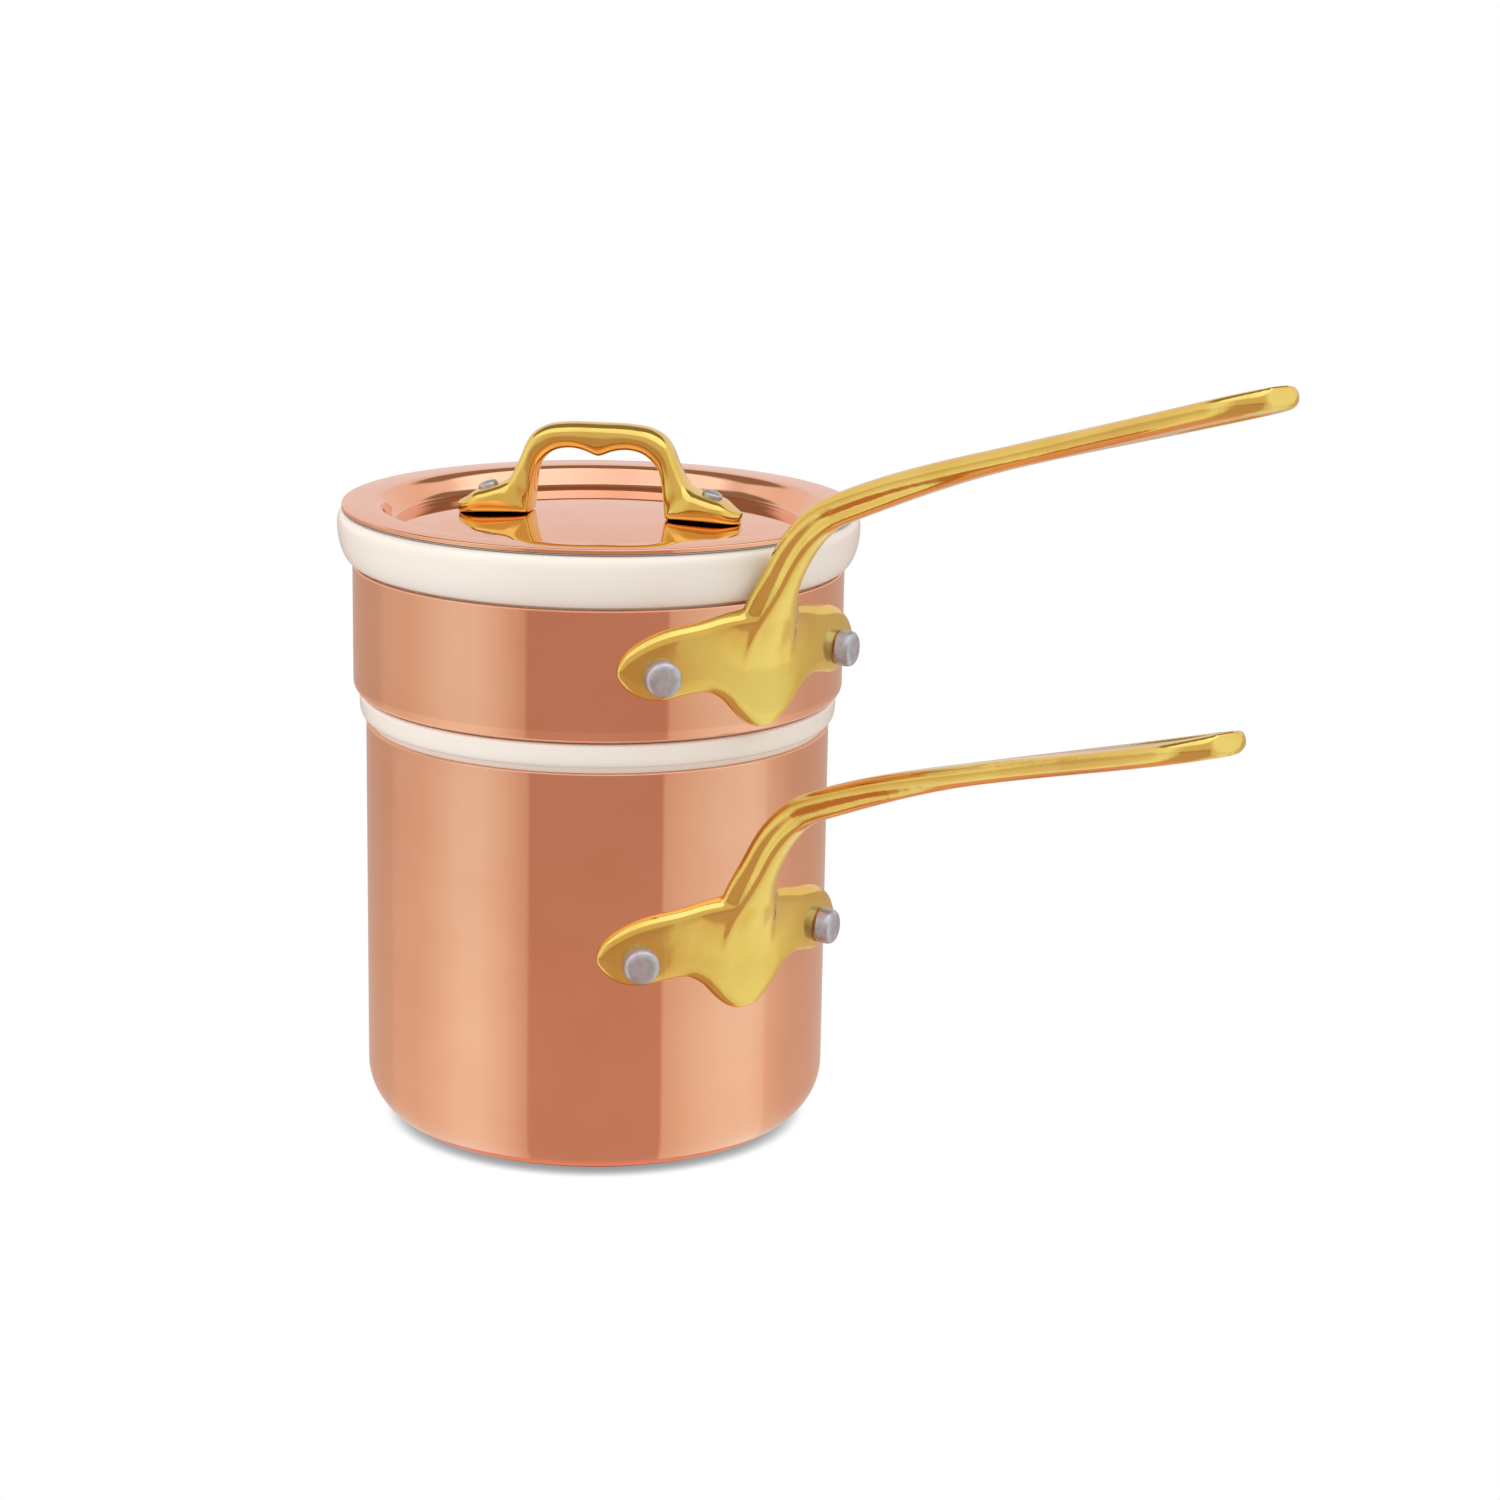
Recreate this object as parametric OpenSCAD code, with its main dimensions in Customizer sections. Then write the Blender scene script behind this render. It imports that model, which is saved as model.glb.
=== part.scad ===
// Double boiler: a copper pot, a porcelain insert in a copper collar, and a copper lid.
// Millimetres, +Z up. The origin is the centre of the pot's base and the pot's handle points along +X.

/* [Pot] */
// Inside diameter of the pot
pot_bore_d = 120; // [116:1:124]
// Height of the pot's rim above the surface that it stands on
pot_h = 108.8; // [100:0.2:130]
// Outside radius of the corner between wall and base
pot_corner_r = 15; // [8:0.5:20]
// Thickness of the copper sheet
copper_t = 1.3; // [1:0.1:1.6]
// Thickness of the steel lining
lining_t = 0.2; // [0.2:0.05:0.4]

/* [Insert] */
// Height of the lip's top above the pot's rim
insert_rise = 56.8; // [52:0.2:66]
// How far the cup reaches down into the pot, from the rim
insert_drop = 78; // [50:1:90]
// Height of the groove between the shoulder and the pot's rim
rim_groove = 0.9; // [0.4:0.1:1.4]
// How far the shoulder stands out past the pot's wall
shoulder_out = 1.7; // [1:0.1:2]
// How far the lip stands out past the collar
lip_out = 3.9; // [2:0.1:5]
// Height of the lip
lip_h = 14.2; // [12:0.2:16]
// Width of the lip's top, from its outer face to the mouth
lip_w = 10.8; // [9.6:0.1:11.6]
// Thickness of the porcelain
porcelain_t = 4.2; // [3.4:0.1:4.8]
// Width of the water space round the top of the cup
water_gap = 8; // [6:0.5:10]
// How much less the cup's radius is at its foot
cup_taper = 3; // [1:0.5:5]

/* [Collar] */
// Thickness of the collar
collar_t = 1.5; // [1:0.1:1.6]
// Outside radius of the collar's turned lower edge
collar_roll_r = 3.4; // [3:0.2:4.4]

/* [Lid] */
// How far the lid's edge stays inside the lip's widest line
lid_in = 1.2; // [0:0.2:3]
// Depth of the sunken middle where it meets its wall
lid_sink = 5.6; // [4.6:0.2:7]
// Rise of the crowned middle
lid_crown = 2.6; // [1:0.2:3]
// How far the wall of the sunken middle slopes inwards
lid_slope_in = 3; // [2:0.2:4]
// Turn of the lid from the line of the pot's handle, in degrees
lid_turn = 42; // [0:1:90]

/* [Long handles] */
// Height of the lower handle's rivets
pot_rivet_z = 60.5; // [50:0.5:75]
// Height of the upper handle's rivets above the pot's rim
collar_rivet_rise = 26.5; // [25:0.5:29]
// Turn of the upper handle from the lower one, in degrees
collar_turn = 1.9; // [0:0.1:10]
// Reach of a long handle from the wall to its tip
handle_reach = 168; // [140:1:190]
// Height of a long handle's tip above its rivets
handle_rise = 88; // [70:0.5:100]
// Thickness of the bar
bar_t = 5.3; // [4.6:0.1:6]
// Width of the bar at its waist
bar_w = 10.6; // [9:0.2:13]
// Depth of the rib under the stem
rib_h = 2.4; // [1.6:0.1:3.6]
// Width of the bar at its eye
eye_w = 24; // [20:0.5:28]
// Width of the eye's hole
eye_hole_w = 11; // [8:0.5:12]
// Length of the eye's hole
eye_hole_l = 27; // [20:1:32]
// Thickness of the riveted flange
flange_t = 4.6; // [3.6:0.1:5.4]
// Distance between a flange's two rivets, along the wall
flange_rivet_gap = 57; // [52:0.5:60]

/* [Lid handle] */
// Height of the lid's handle above the lid's middle
grip_h = 24; // [22:0.5:30]
// Half the length of the lid's handle
grip_half = 38; // [36:0.5:42]
// Width of a foot of the lid's handle
grip_foot_w = 14.4; // [12:0.2:17]
// Width of the lid's handle across its bar
grip_bar_w = 9.2; // [7:0.2:11]

/* [Rivets] */
// Diameter of a wall rivet's head
rivet_head_d = 9.2; // [8:0.1:10]
// Height of a wall rivet's head
rivet_head_h = 4.3; // [3:0.1:5]
// Diameter of a wall rivet's shank
rivet_shank_d = 5; // [4:0.1:6]
// Diameter of a lid rivet's head
lid_rivet_head_d = 5.4; // [5:0.1:7]
// Height of a lid rivet's head
lid_rivet_head_h = 1.4; // [1:0.1:2]
// Diameter of a lid rivet's shank
lid_rivet_shank_d = 3.4; // [3:0.1:4]
// Height of a rivet's flat inner head
rivet_tail_h = 1; // [0.6:0.1:1.2]

/* [Hidden] */
$fn = 96;

copper = "#d9926f";
bronze = "#cfa84a";
steel = "#9a9ca0";
porcelain = "#f3e9dd";

// Clearances: bonded sheets, riveted pieces, the collar's seat, loose fits at rest, the locating step
// of the insert in the pot, and the lid's wall in the mouth
bond_gap = 0.02;
seat_gap = 0.03;
collar_gap = 0.1;
rest_gap = 0.05;
step_gap = 0.8;
lid_gap = 0.4;

pot_inner_r = pot_bore_d / 2;
pot_lining_r = pot_inner_r + lining_t;
pot_r = pot_lining_r + bond_gap + copper_t;

shoulder_r = pot_r + shoulder_out;
collar_inner_r = shoulder_r + collar_gap;
collar_r = collar_inner_r + collar_t;
lip_r = collar_r + lip_out;
lip_top_z = pot_h + insert_rise;
lip_foot_z = lip_top_z - lip_h;
mouth_r = lip_r - lip_w;
seat_z = pot_h + rest_gap;
neck_z = pot_h + 8;
neck_r = collar_r - collar_roll_r - collar_gap;
land_h = 5;
step_r = pot_inner_r - step_gap;
cup_r = pot_inner_r - water_gap;
cup_foot_r = cup_r - cup_taper;
cup_foot_z = pot_h - insert_drop;
cup_corner_r = 12;
foot_h = 1.5;

collar_top_z = lip_foot_z - collar_gap;
collar_foot_z = neck_z + collar_gap;
collar_rivet_z = pot_h + collar_rivet_rise;

lid_r = lip_r - lid_in;
lid_t = copper_t + bond_gap + lining_t;
lid_top_z = lip_top_z + rest_gap + lid_t;
lid_edge_in_r = mouth_r - lid_gap;
lid_floor_r = lid_edge_in_r - lid_slope_in;
lid_floor_z = lid_top_z - lid_sink;
lid_mid_z = lid_floor_z + lid_crown;
function lid_crown_z(r) = lid_mid_z - lid_crown * pow(r / lid_floor_r, 2);

// Curves
function mix(a, b, t) = a + (b - a) * t;
function smooth(t) = let (c = min(1, max(0, t))) c * c * (3 - 2 * c);
function unit(v) = v / norm(v);
function bezier(p, t) = let (s = 1 - t)
    s * s * s * p[0] + 3 * s * s * t * p[1] + 3 * s * t * t * p[2] + t * t * t * p[3];
function bezier_dir(p, t) = let (s = 1 - t)
    unit(s * s * (p[1] - p[0]) + 2 * s * t * (p[2] - p[1]) + t * t * (p[3] - p[2]));
function curve(p, steps) = [for (k = [0:steps]) bezier(p, k / steps)];
function arc(c, r, a0, a1, steps) =
    [for (k = [0:steps]) let (a = mix(a0, a1, k / steps)) c + r * [cos(a), sin(a)]];
function spline_at(a, b, c, d, t) =
    (2 * b + (c - a) * t + (2 * a - 5 * b + 4 * c - d) * t * t + (3 * b - a - 3 * c + d) * t * t * t) / 2;
// A smooth line through points of any dimension, with the ends kept
function spline(p, steps) = let (n = len(p))
    [for (i = [0:n - 2], k = [0:(i == n - 2 ? steps : steps - 1)])
        spline_at(p[max(i - 1, 0)], p[i], p[i + 1], p[min(i + 2, n - 1)], k / steps)];
// The line moved sideways by d, to the right of its direction
function beside(p, d) = let (n = len(p))
    [for (i = [0:n - 1]) let (v = unit(p[min(i + 1, n - 1)] - p[max(i - 1, 0)])) p[i] + d * [v[1], -v[0]]];
function backwards(p) = [for (i = [len(p) - 1:-1:0]) p[i]];

// A closed skin over rings that all have the same number of points
module skin(rings) {
    n = len(rings[0]);
    m = len(rings);
    sides = [for (i = [0:m - 2], k = [0:n - 1]) let (a = i * n + k, b = i * n + (k + 1) % n)
        each [[a, b, a + n], [b, b + n, a + n]]];
    caps = [[for (k = [n - 1:-1:0]) k], [for (k = [0:n - 1]) (m - 1) * n + k]];
    polyhedron(points = [for (r = rings) each r], faces = concat(sides, caps), convexity = 8);
}

// Half of the section of a pan whose wall and base meet in a round corner
module pan_section(r, h, corner_r) {
    square([r - corner_r, h]);
    translate([0, corner_r]) square([r, h - corner_r]);
    translate([r - corner_r, corner_r]) circle(corner_r);
}

// A sheet that follows the pot's outline between two depths from the outer face
module pot_sheet(from, to) {
    rotate_extrude() difference() {
        translate([0, from]) pan_section(pot_r - from, pot_h - from, pot_corner_r - from);
        translate([0, to]) pan_section(pot_r - to, pot_h, pot_corner_r - to);
    }
}

// Places its children at both rivets of a wall, with +Z pointing out of the wall
module at_wall_rivets(wall_r, z, sides = [-1, 1]) {
    for (side = sides) {
        rotate([0, 0, side * flange_rivet_gap / 2 / wall_r * 180 / PI])
            translate([wall_r, 0, z]) rotate([0, 90, 0]) children();
    }
}

// A drum with a rounded upper edge
module button(r, h, edge) {
    rotate_extrude() {
        square([r - edge, h]);
        square([r, h - edge]);
        translate([r - edge, h - edge]) intersection() {
            circle(edge);
            square(edge);
        }
    }
}

// A rivet through a wall and the flange on it, from the wall's outer face
// Its flat inner head stands off the wall by the rise of the wall's curve
module wall_rivet(wall_r, wall_t) {
    tail_r = rivet_head_d / 2 + 0.4;
    inner_r = wall_r - wall_t;
    tail_z = -wall_t - seat_gap - (inner_r - sqrt(inner_r * inner_r - tail_r * tail_r));
    color(steel) {
        translate([0, 0, flange_t + 2 * seat_gap]) button(rivet_head_d / 2, rivet_head_h, 2);
        translate([0, 0, tail_z]) mirror([0, 0, 1]) button(tail_r, rivet_tail_h, 0.5);
        translate([0, 0, tail_z - seat_gap])
            cylinder(d = rivet_shank_d, h = flange_t + 4 * seat_gap - tail_z);
    }
}

module wall_rivet_holes(wall_r, z) {
    at_wall_rivets(wall_r, z) cylinder(d = rivet_shank_d + 2 * seat_gap, h = 30, center = true);
}

// Long handle, drawn with x outwards from the wall, y along it and z up from the rivets
stem_end = [29.6, 43.6];
eye_run = [61.7, 18.9];
stem_low = [flange_t / 2, -1];
stem = [stem_low, [stem_low[0] + 0.7, 14], [13, 36.6], stem_end];
bar = [stem_end, [74, 62.4], [handle_reach, handle_rise] - eye_run, [handle_reach, handle_rise]];
eye_r = eye_w / 2;
eye_tilt = atan2(eye_run[1], eye_run[0]);
eye_mid = bezier(bar, 1 - eye_r / 3 / norm(eye_run));
rib_end_x = 92;
stem_w = bar_w + 1.6;

function waist_w(x) = mix(stem_w / 2, bar_w / 2, smooth(x / stem_end[0]));
function widening(x) = pow(smooth((x - eye_mid[0] + eye_run[0]) / eye_run[0]), 1.2);
function half_w(x) = x >= eye_mid[0]
    ? max(0.6, sqrt(max(0, eye_r * eye_r - pow(x - eye_mid[0], 2))))
    : mix(waist_w(x), eye_r, widening(x));
function rib_at(p) = rib_h * smooth((p[1] - 1) / 20) * (1 - smooth((p[0] - 34) / (rib_end_x - 34)));
function plate_at(p) = mix(flange_t - 0.5, bar_t, smooth((p[1] + 1) / 14));

// Section of stem and bar: the flat bar on the upper side, the rib under it, a groove between them
function stem_ring(p, dir) = let (
    w = half_w(p[0]),
    rib = rib_at(p),
    plate = plate_at(p),
    edge = min(1.7, w * 0.5),
    full = plate + rib,
    cut = min(1, rib / 2.4),
    rib_w = mix(w - edge, w * 0.74, cut),
    waist = mix(w - edge * 0.4, w * 0.6, cut),
    half = [[0, 0], [w * 0.5, 0.05], [w - edge, 0.3], [w - edge * 0.3, edge * 0.65], [w, plate * 0.45],
            [w - edge * 0.1, plate * mix(0.65, 0.72, cut)], [waist, plate * mix(0.82, 0.98, cut)],
            [rib_w, plate * mix(0.9, 1, cut) + rib * 0.34], [rib_w * 0.9, full - mix(0.25, 0.75, cut)],
            [rib_w * 0.5, full - 0.1], [0, full]],
    ring = concat(half, [for (i = [len(half) - 2:-1:1]) [-half[i][0], half[i][1]]]))
    [for (q = ring) let (n = q[1] - full / 2) [p[0] + n * dir[1], q[0], p[1] - n * dir[0]]];

stem_steps = 18;
bar_steps = 26;
eye_steps = 9;
bar_end_t = 1 - eye_r / 3 / norm(eye_run);

module stem_and_bar() {
    round_t = [for (k = [1:eye_steps]) mix(bar_end_t, 1, sin(88 * k / eye_steps))];
    bar_t_list = concat([for (k = [1:bar_steps]) bar_end_t * k / bar_steps], round_t);
    skin(concat(
        [for (k = [0:stem_steps]) stem_ring(bezier(stem, k / stem_steps), bezier_dir(stem, k / stem_steps))],
        [for (t = bar_t_list) stem_ring(bezier(bar, t), bezier_dir(bar, t))]));
}

// The drop-shaped hole of the hanging eye
module eye_hole() {
    round_r = eye_hole_w / 2;
    point_x = round_r - eye_hole_l;
    side_a = acos(round_r / -point_x);
    translate([eye_mid[0], 0, eye_mid[1]]) rotate([0, -eye_tilt, 0])
        linear_extrude(3 * bar_t, center = true)
            polygon(concat([[point_x, 0]], arc([0, 0], round_r, -180 + side_a, 180 - side_a, 32)));
}

// Flange outline from its middle to a lobe's end: distance along the wall, height from the rivets
// Its upper edge stays under the lip, and its front swells out in the middle to meet the stem
lobe_s = flange_rivet_gap / 2;
flange_end = lobe_s + 10.5;
flange_top = min(15.6, lip_foot_z - collar_rivet_z - 0.5);
flange_low = spline([[0, -16], [2.6, -15.7], [5.4, -14.2], [8.5, -11.4], [12, -7.6], [16.5, -5.3],
    [lobe_s - 6, -5.8], [lobe_s - 1, -6.8], [lobe_s + 4, -6.2], [lobe_s + 8, -3.8],
    [flange_end - 0.4, -0.8], [flange_end, 1]], 6);
flange_high = spline([[0, flange_top], [5, flange_top], [9, flange_top - 0.4], [14, flange_top - 1.4],
    [18, 13.2], [lobe_s - 2.5, 11.9], [lobe_s + 3, 9.9], [lobe_s + 8, 6.6],
    [flange_end - 0.4, 3], [flange_end, 1]], 6);
swell = 4.6;
swell_w = 9;

function flange_depth(s, z) = flange_t + swell * exp(-pow(s / swell_w, 2)) * smooth((z - 1) / 13);
// The rounded edge from the wall to the front, with the depth of the front where it starts
function flange_edge(depth, z, up) = [[0, z + up * 0.15], [depth * 0.36, z], [depth * 0.68, z + up * 0.14],
    [depth * 0.91, z + up * 0.47], [depth, z + up]];

function flange_ring(s, wall_r) = let (
    low = lookup(abs(s), flange_low),
    high = lookup(abs(s), flange_high),
    edge = min(2.8, (high - low) * 0.35),
    a = s / wall_r * 180 / PI,
    front = [for (k = [1:4]) let (z = mix(low + edge, high - edge, k / 5)) [flange_depth(s, z), z]],
    ring = concat(
        flange_edge(flange_depth(s, low + edge), low, edge),
        front,
        backwards(flange_edge(flange_depth(s, high - edge), high, -edge))))
    [for (q = ring) let (r = wall_r + seat_gap + q[0]) [r * cos(a), r * sin(a), q[1]]];

module flange(wall_r) {
    steps = 36;
    shares = [for (k = [-steps:steps]) mix(k / steps, pow(k / steps, 3), 0.35)];
    skin([for (t = shares) flange_ring(flange_end * 0.995 * sin(90 * t), wall_r)]);
}

// The casting in one piece, at its drawn size, before its rivet holes are drilled
module casting(wall_r) {
    resize([0, 0, 0]) difference() {
        union() {
            flange(wall_r);
            translate([wall_r, 0, 0]) stem_and_bar();
        }
        translate([wall_r, 0, 0]) eye_hole();
    }
}

module long_handle(wall_r) {
    color(bronze) difference() {
        casting(wall_r);
        wall_rivet_holes(wall_r, 0);
    }
}

// Outline of the porcelain, from the middle of its underside round to the middle of its floor
module insert_section() {
    corner = [cup_foot_r - cup_corner_r, cup_foot_z + foot_h + cup_corner_r];
    foot_out = corner[0] - 0.6;
    step_z = pot_h - 4.5;
    flare_z = step_z - 12;
    in_corner_r = cup_corner_r - porcelain_t;
    throat_r = neck_r - porcelain_t;
    floor_z = cup_foot_z + foot_h + porcelain_t;
    groove_z = seat_z + rim_groove;
    land_z = lip_foot_z - land_h;
    polygon(concat(
        [[0, cup_foot_z + foot_h], [foot_out - 4, cup_foot_z + foot_h], [foot_out - 3.4, cup_foot_z],
         [foot_out - 0.5, cup_foot_z], [foot_out, cup_foot_z + foot_h]],
        arc(corner, cup_corner_r, -90, 0, 10),
        curve([[cup_r, flare_z], [cup_r + 0.2, step_z - 6], [step_r, step_z - 7], [step_r, step_z]], 8),
        [[step_r, seat_z], [pot_inner_r + 0.5, seat_z], [pot_inner_r + 0.9, groove_z]],
        curve([[pot_r, groove_z], [pot_r + 0.9, groove_z + 0.9],
               [shoulder_r, neck_z - 4.5], [shoulder_r, neck_z - 1.6]], 6),
        arc([shoulder_r - 1.2, neck_z - 1.2], 1.2, 15, 90, 4),
        [[neck_r, neck_z], [neck_r, land_z - 2], [shoulder_r, land_z], [shoulder_r, lip_foot_z]],
        curve([[collar_r, lip_foot_z], [lip_r - 1.2, lip_foot_z + 1.6],
               [lip_r, lip_foot_z + 6.5], [lip_r, lip_top_z - 3.4]], 10),
        curve([[lip_r, lip_top_z - 3.4], [lip_r, lip_top_z - 1.2],
               [lip_r - 1.1, lip_top_z], [lip_r - 3, lip_top_z]], 7),
        curve([[mouth_r + 3, lip_top_z], [mouth_r + 1.2, lip_top_z],
               [mouth_r, lip_top_z - 0.8], [mouth_r, lip_top_z - 3]], 7),
        curve([[mouth_r, lip_top_z - 8], [mouth_r, lip_foot_z - 2],
               [throat_r, lip_foot_z], [throat_r, land_z - 4]], 8),
        curve([[throat_r, neck_z], [throat_r, step_z - 4], [cup_r - porcelain_t, step_z - 3],
               [cup_r - porcelain_t, flare_z - 6]], 8),
        arc(corner, in_corner_r, 0, -90, 8),
        [[0, floor_z]]));
}

// Top line of the lid, from its middle out to its edge
module lid_section(from, to) {
    floor_edge = [lid_floor_r, lid_floor_z];
    rim_edge = [lid_edge_in_r, lid_top_z];
    wall = unit(rim_edge - floor_edge);
    crown_end = lid_floor_r - 2.2;
    crown = [for (k = [0:8]) let (r = crown_end * k / 8) [r, lid_crown_z(r)]];
    bend_r = lid_floor_r - 0.7;
    low_bend = curve([[crown_end, lid_crown_z(crown_end)], [bend_r, lid_crown_z(bend_r)],
                      floor_edge + 0.7 * wall, floor_edge + 2.1 * wall], 6);
    high_bend = curve([rim_edge - 2.1 * wall, rim_edge - 0.7 * wall,
                       rim_edge + [0.7, 0], rim_edge + [2.1, 0]], 7);
    top = concat(crown, [for (i = [1:6]) low_bend[i]], high_bend, [[lid_r, lid_top_z]]);
    sheet = concat(beside(top, from), backwards(beside(top, to)));
    polygon([for (q = sheet) [max(0, q[0]), q[1]]]);
}

// Lid handle, drawn with x along it and z up from the lid's middle
grip_rivet_x = grip_half - 8;
grip_seat_h = 5.9;
grip_foot_slope = 18;
function grip_foot_z(x) = lid_crown_z(x) - lid_mid_z + 2 * seat_gap;
// Each row: x and z on the under side, x and z on the upper side, half width
grip_rows = let (
    rise = tan(grip_foot_slope) * 3,
    b = grip_bar_w / 2,
    f = grip_foot_w / 2,
    e = grip_half,
    g = grip_rivet_x)
    [[0, grip_h - 8.6, 0, grip_h, b],
     [1.2, grip_h - 8.3, 2.2, grip_h, b],
     [4, grip_h - 7.2, 5.5, grip_h, b],
     [7.6, grip_h - 6.7, 9.3, grip_h - 0.2, b],
     [11.4, grip_h - 7.4, 13.7, grip_h - 0.9, b],
     [14.3, grip_h - 9.4, 17.3, grip_h - 2.8, b + 0.1],
     [16.2, grip_h - 12.2, 19.4, grip_h - 5.6, b + 0.2],
     [17.1, 8, 20.9, grip_h - 9.4, b + 0.5],
     [17.6, 3.6, 22.6, 10.9, b + 1.1],
     [17.9, 0.6, 24.1, 8.5, f - 1.2],
     [18.7, grip_foot_z(18.7), 25.5, 7.5, f - 0.8],
     [22, grip_foot_z(22), g - 3, grip_seat_h + rise, f - 0.3],
     [g - 2, grip_foot_z(g - 2), g, grip_seat_h, f],
     [g + 3, grip_foot_z(g + 3), g + 3, grip_seat_h - rise, f - 0.5],
     [e - 2, grip_foot_z(e - 2), e - 2.2, 2.9, f - 2.6],
     [e - 0.3, grip_foot_z(e), e, 1.7, f - 5]];

function grip_ring(row, side) = let (
    low = [row[0], row[1]],
    high = [row[2], row[3]],
    w = row[4],
    e = min(2, w * 0.45, norm(high - low) * 0.3),
    up = unit(high - low),
    half = [[0, low], [w * 0.55, low], [w - e * 0.4, low + up * e * 0.25],
            [w, low + up * e * 0.9], [w, mix(low, high, 0.5)], [w - e * 0.05, high - up * e * 1.1],
            [w - e * 0.45, high - up * e * 0.42], [w - e * 1.3, high - up * e * 0.06], [0, high]],
    ring = concat(half, [for (i = [len(half) - 2:-1:1]) [-half[i][0], half[i][1]]]))
    [for (q = backwards(ring)) [side * q[1][0], q[0], q[1][1]]];

module lid_grip() {
    rows = spline(grip_rows, 4);
    color(bronze) difference() {
        resize([0, 0, 0]) skin(concat(
            [for (i = [len(rows) - 1:-1:1]) grip_ring(rows[i], -1)],
            [for (r = rows) grip_ring(r, 1)]));
        grip_rivet_holes();
    }
}

module grip_rivet_holes() {
    for (side = [-1, 1]) {
        translate([side * grip_rivet_x, 0, 0])
            cylinder(d = lid_rivet_shank_d + 2 * seat_gap, h = 2 * grip_h, center = true);
    }
}

// A lid rivet, drawn upright at the origin of the lid handle's frame
module lid_rivet(side) {
    tail_r = lid_rivet_head_d / 2 + 0.3;
    tail_z = grip_foot_z(grip_rivet_x + tail_r) - lid_t - 4 * seat_gap;
    color(steel) translate([side * grip_rivet_x, 0, 0]) {
        translate([0, 0, grip_seat_h + seat_gap]) rotate([0, side * grip_foot_slope, 0])
            button(lid_rivet_head_d / 2, lid_rivet_head_h, 1);
        translate([0, 0, tail_z]) cylinder(d = lid_rivet_shank_d, h = grip_seat_h - tail_z + 0.5);
        translate([0, 0, tail_z]) mirror([0, 0, 1]) button(tail_r, rivet_tail_h, 0.5);
    }
}

module in_lid_frame() {
    rotate([0, 0, lid_turn]) translate([0, 0, lid_mid_z]) children();
}

module pot_shell() {
    color(copper) difference() {
        pot_sheet(0, copper_t);
        wall_rivet_holes(pot_r, pot_rivet_z);
    }
}

module pot_lining() {
    color(steel) difference() {
        pot_sheet(copper_t + bond_gap, copper_t + bond_gap + lining_t);
        wall_rivet_holes(pot_r, pot_rivet_z);
    }
}

module pot_handle() {
    translate([0, 0, pot_rivet_z]) long_handle(pot_r);
}

module pot_rivet(side) {
    at_wall_rivets(pot_r, pot_rivet_z, [side]) wall_rivet(pot_r, pot_r - pot_inner_r);
}

module pot_rivet_left() {
    pot_rivet(1);
}

module pot_rivet_right() {
    pot_rivet(-1);
}

module porcelain_insert() {
    color(porcelain) rotate_extrude() insert_section();
}

module collar_band() {
    roll_z = collar_foot_z + collar_roll_r;
    roll_x = collar_r - collar_roll_r;
    color(copper) difference() {
        rotate_extrude() {
            translate([collar_inner_r, roll_z]) square([collar_t, collar_top_z - roll_z]);
            translate([roll_x, roll_z]) intersection() {
                difference() {
                    circle(collar_roll_r);
                    circle(collar_roll_r - collar_t);
                }
                translate([0, -collar_roll_r]) square(collar_roll_r);
            }
        }
        rotate([0, 0, collar_turn]) wall_rivet_holes(collar_r, collar_rivet_z);
    }
}

module collar_handle() {
    rotate([0, 0, collar_turn]) translate([0, 0, collar_rivet_z]) long_handle(collar_r);
}

module collar_rivet(side) {
    rotate([0, 0, collar_turn])
        at_wall_rivets(collar_r, collar_rivet_z, [side]) wall_rivet(collar_r, collar_t);
}

module collar_rivet_left() {
    collar_rivet(1);
}

module collar_rivet_right() {
    collar_rivet(-1);
}

module lid_shell() {
    color(copper) difference() {
        rotate_extrude() lid_section(0, copper_t);
        in_lid_frame() grip_rivet_holes();
    }
}

module lid_lining() {
    color(steel) difference() {
        rotate_extrude() lid_section(copper_t + bond_gap, lid_t);
        in_lid_frame() grip_rivet_holes();
    }
}

module lid_handle() {
    in_lid_frame() lid_grip();
}

module lid_rivet_left() {
    in_lid_frame() lid_rivet(1);
}

module lid_rivet_right() {
    in_lid_frame() lid_rivet(-1);
}

pot_shell();
pot_lining();
pot_handle();
pot_rivet_left();
pot_rivet_right();
porcelain_insert();
collar_band();
collar_handle();
collar_rivet_left();
collar_rivet_right();
lid_shell();
lid_lining();
lid_handle();
lid_rivet_left();
lid_rivet_right();
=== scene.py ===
"""A double boiler: copper pot, porcelain insert in a copper collar, copper lid and cast bronze handles.

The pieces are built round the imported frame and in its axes: +Z up, the pot's handle along +X.
Blender's lengths are in metres. Outlines are worked out in millimetres and drawn through MM.
"""

import math
from contextlib import contextmanager

import bmesh
import bpy
from bpy.props import FloatProperty, FloatVectorProperty, PointerProperty
from mathutils import Matrix, Vector


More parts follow.
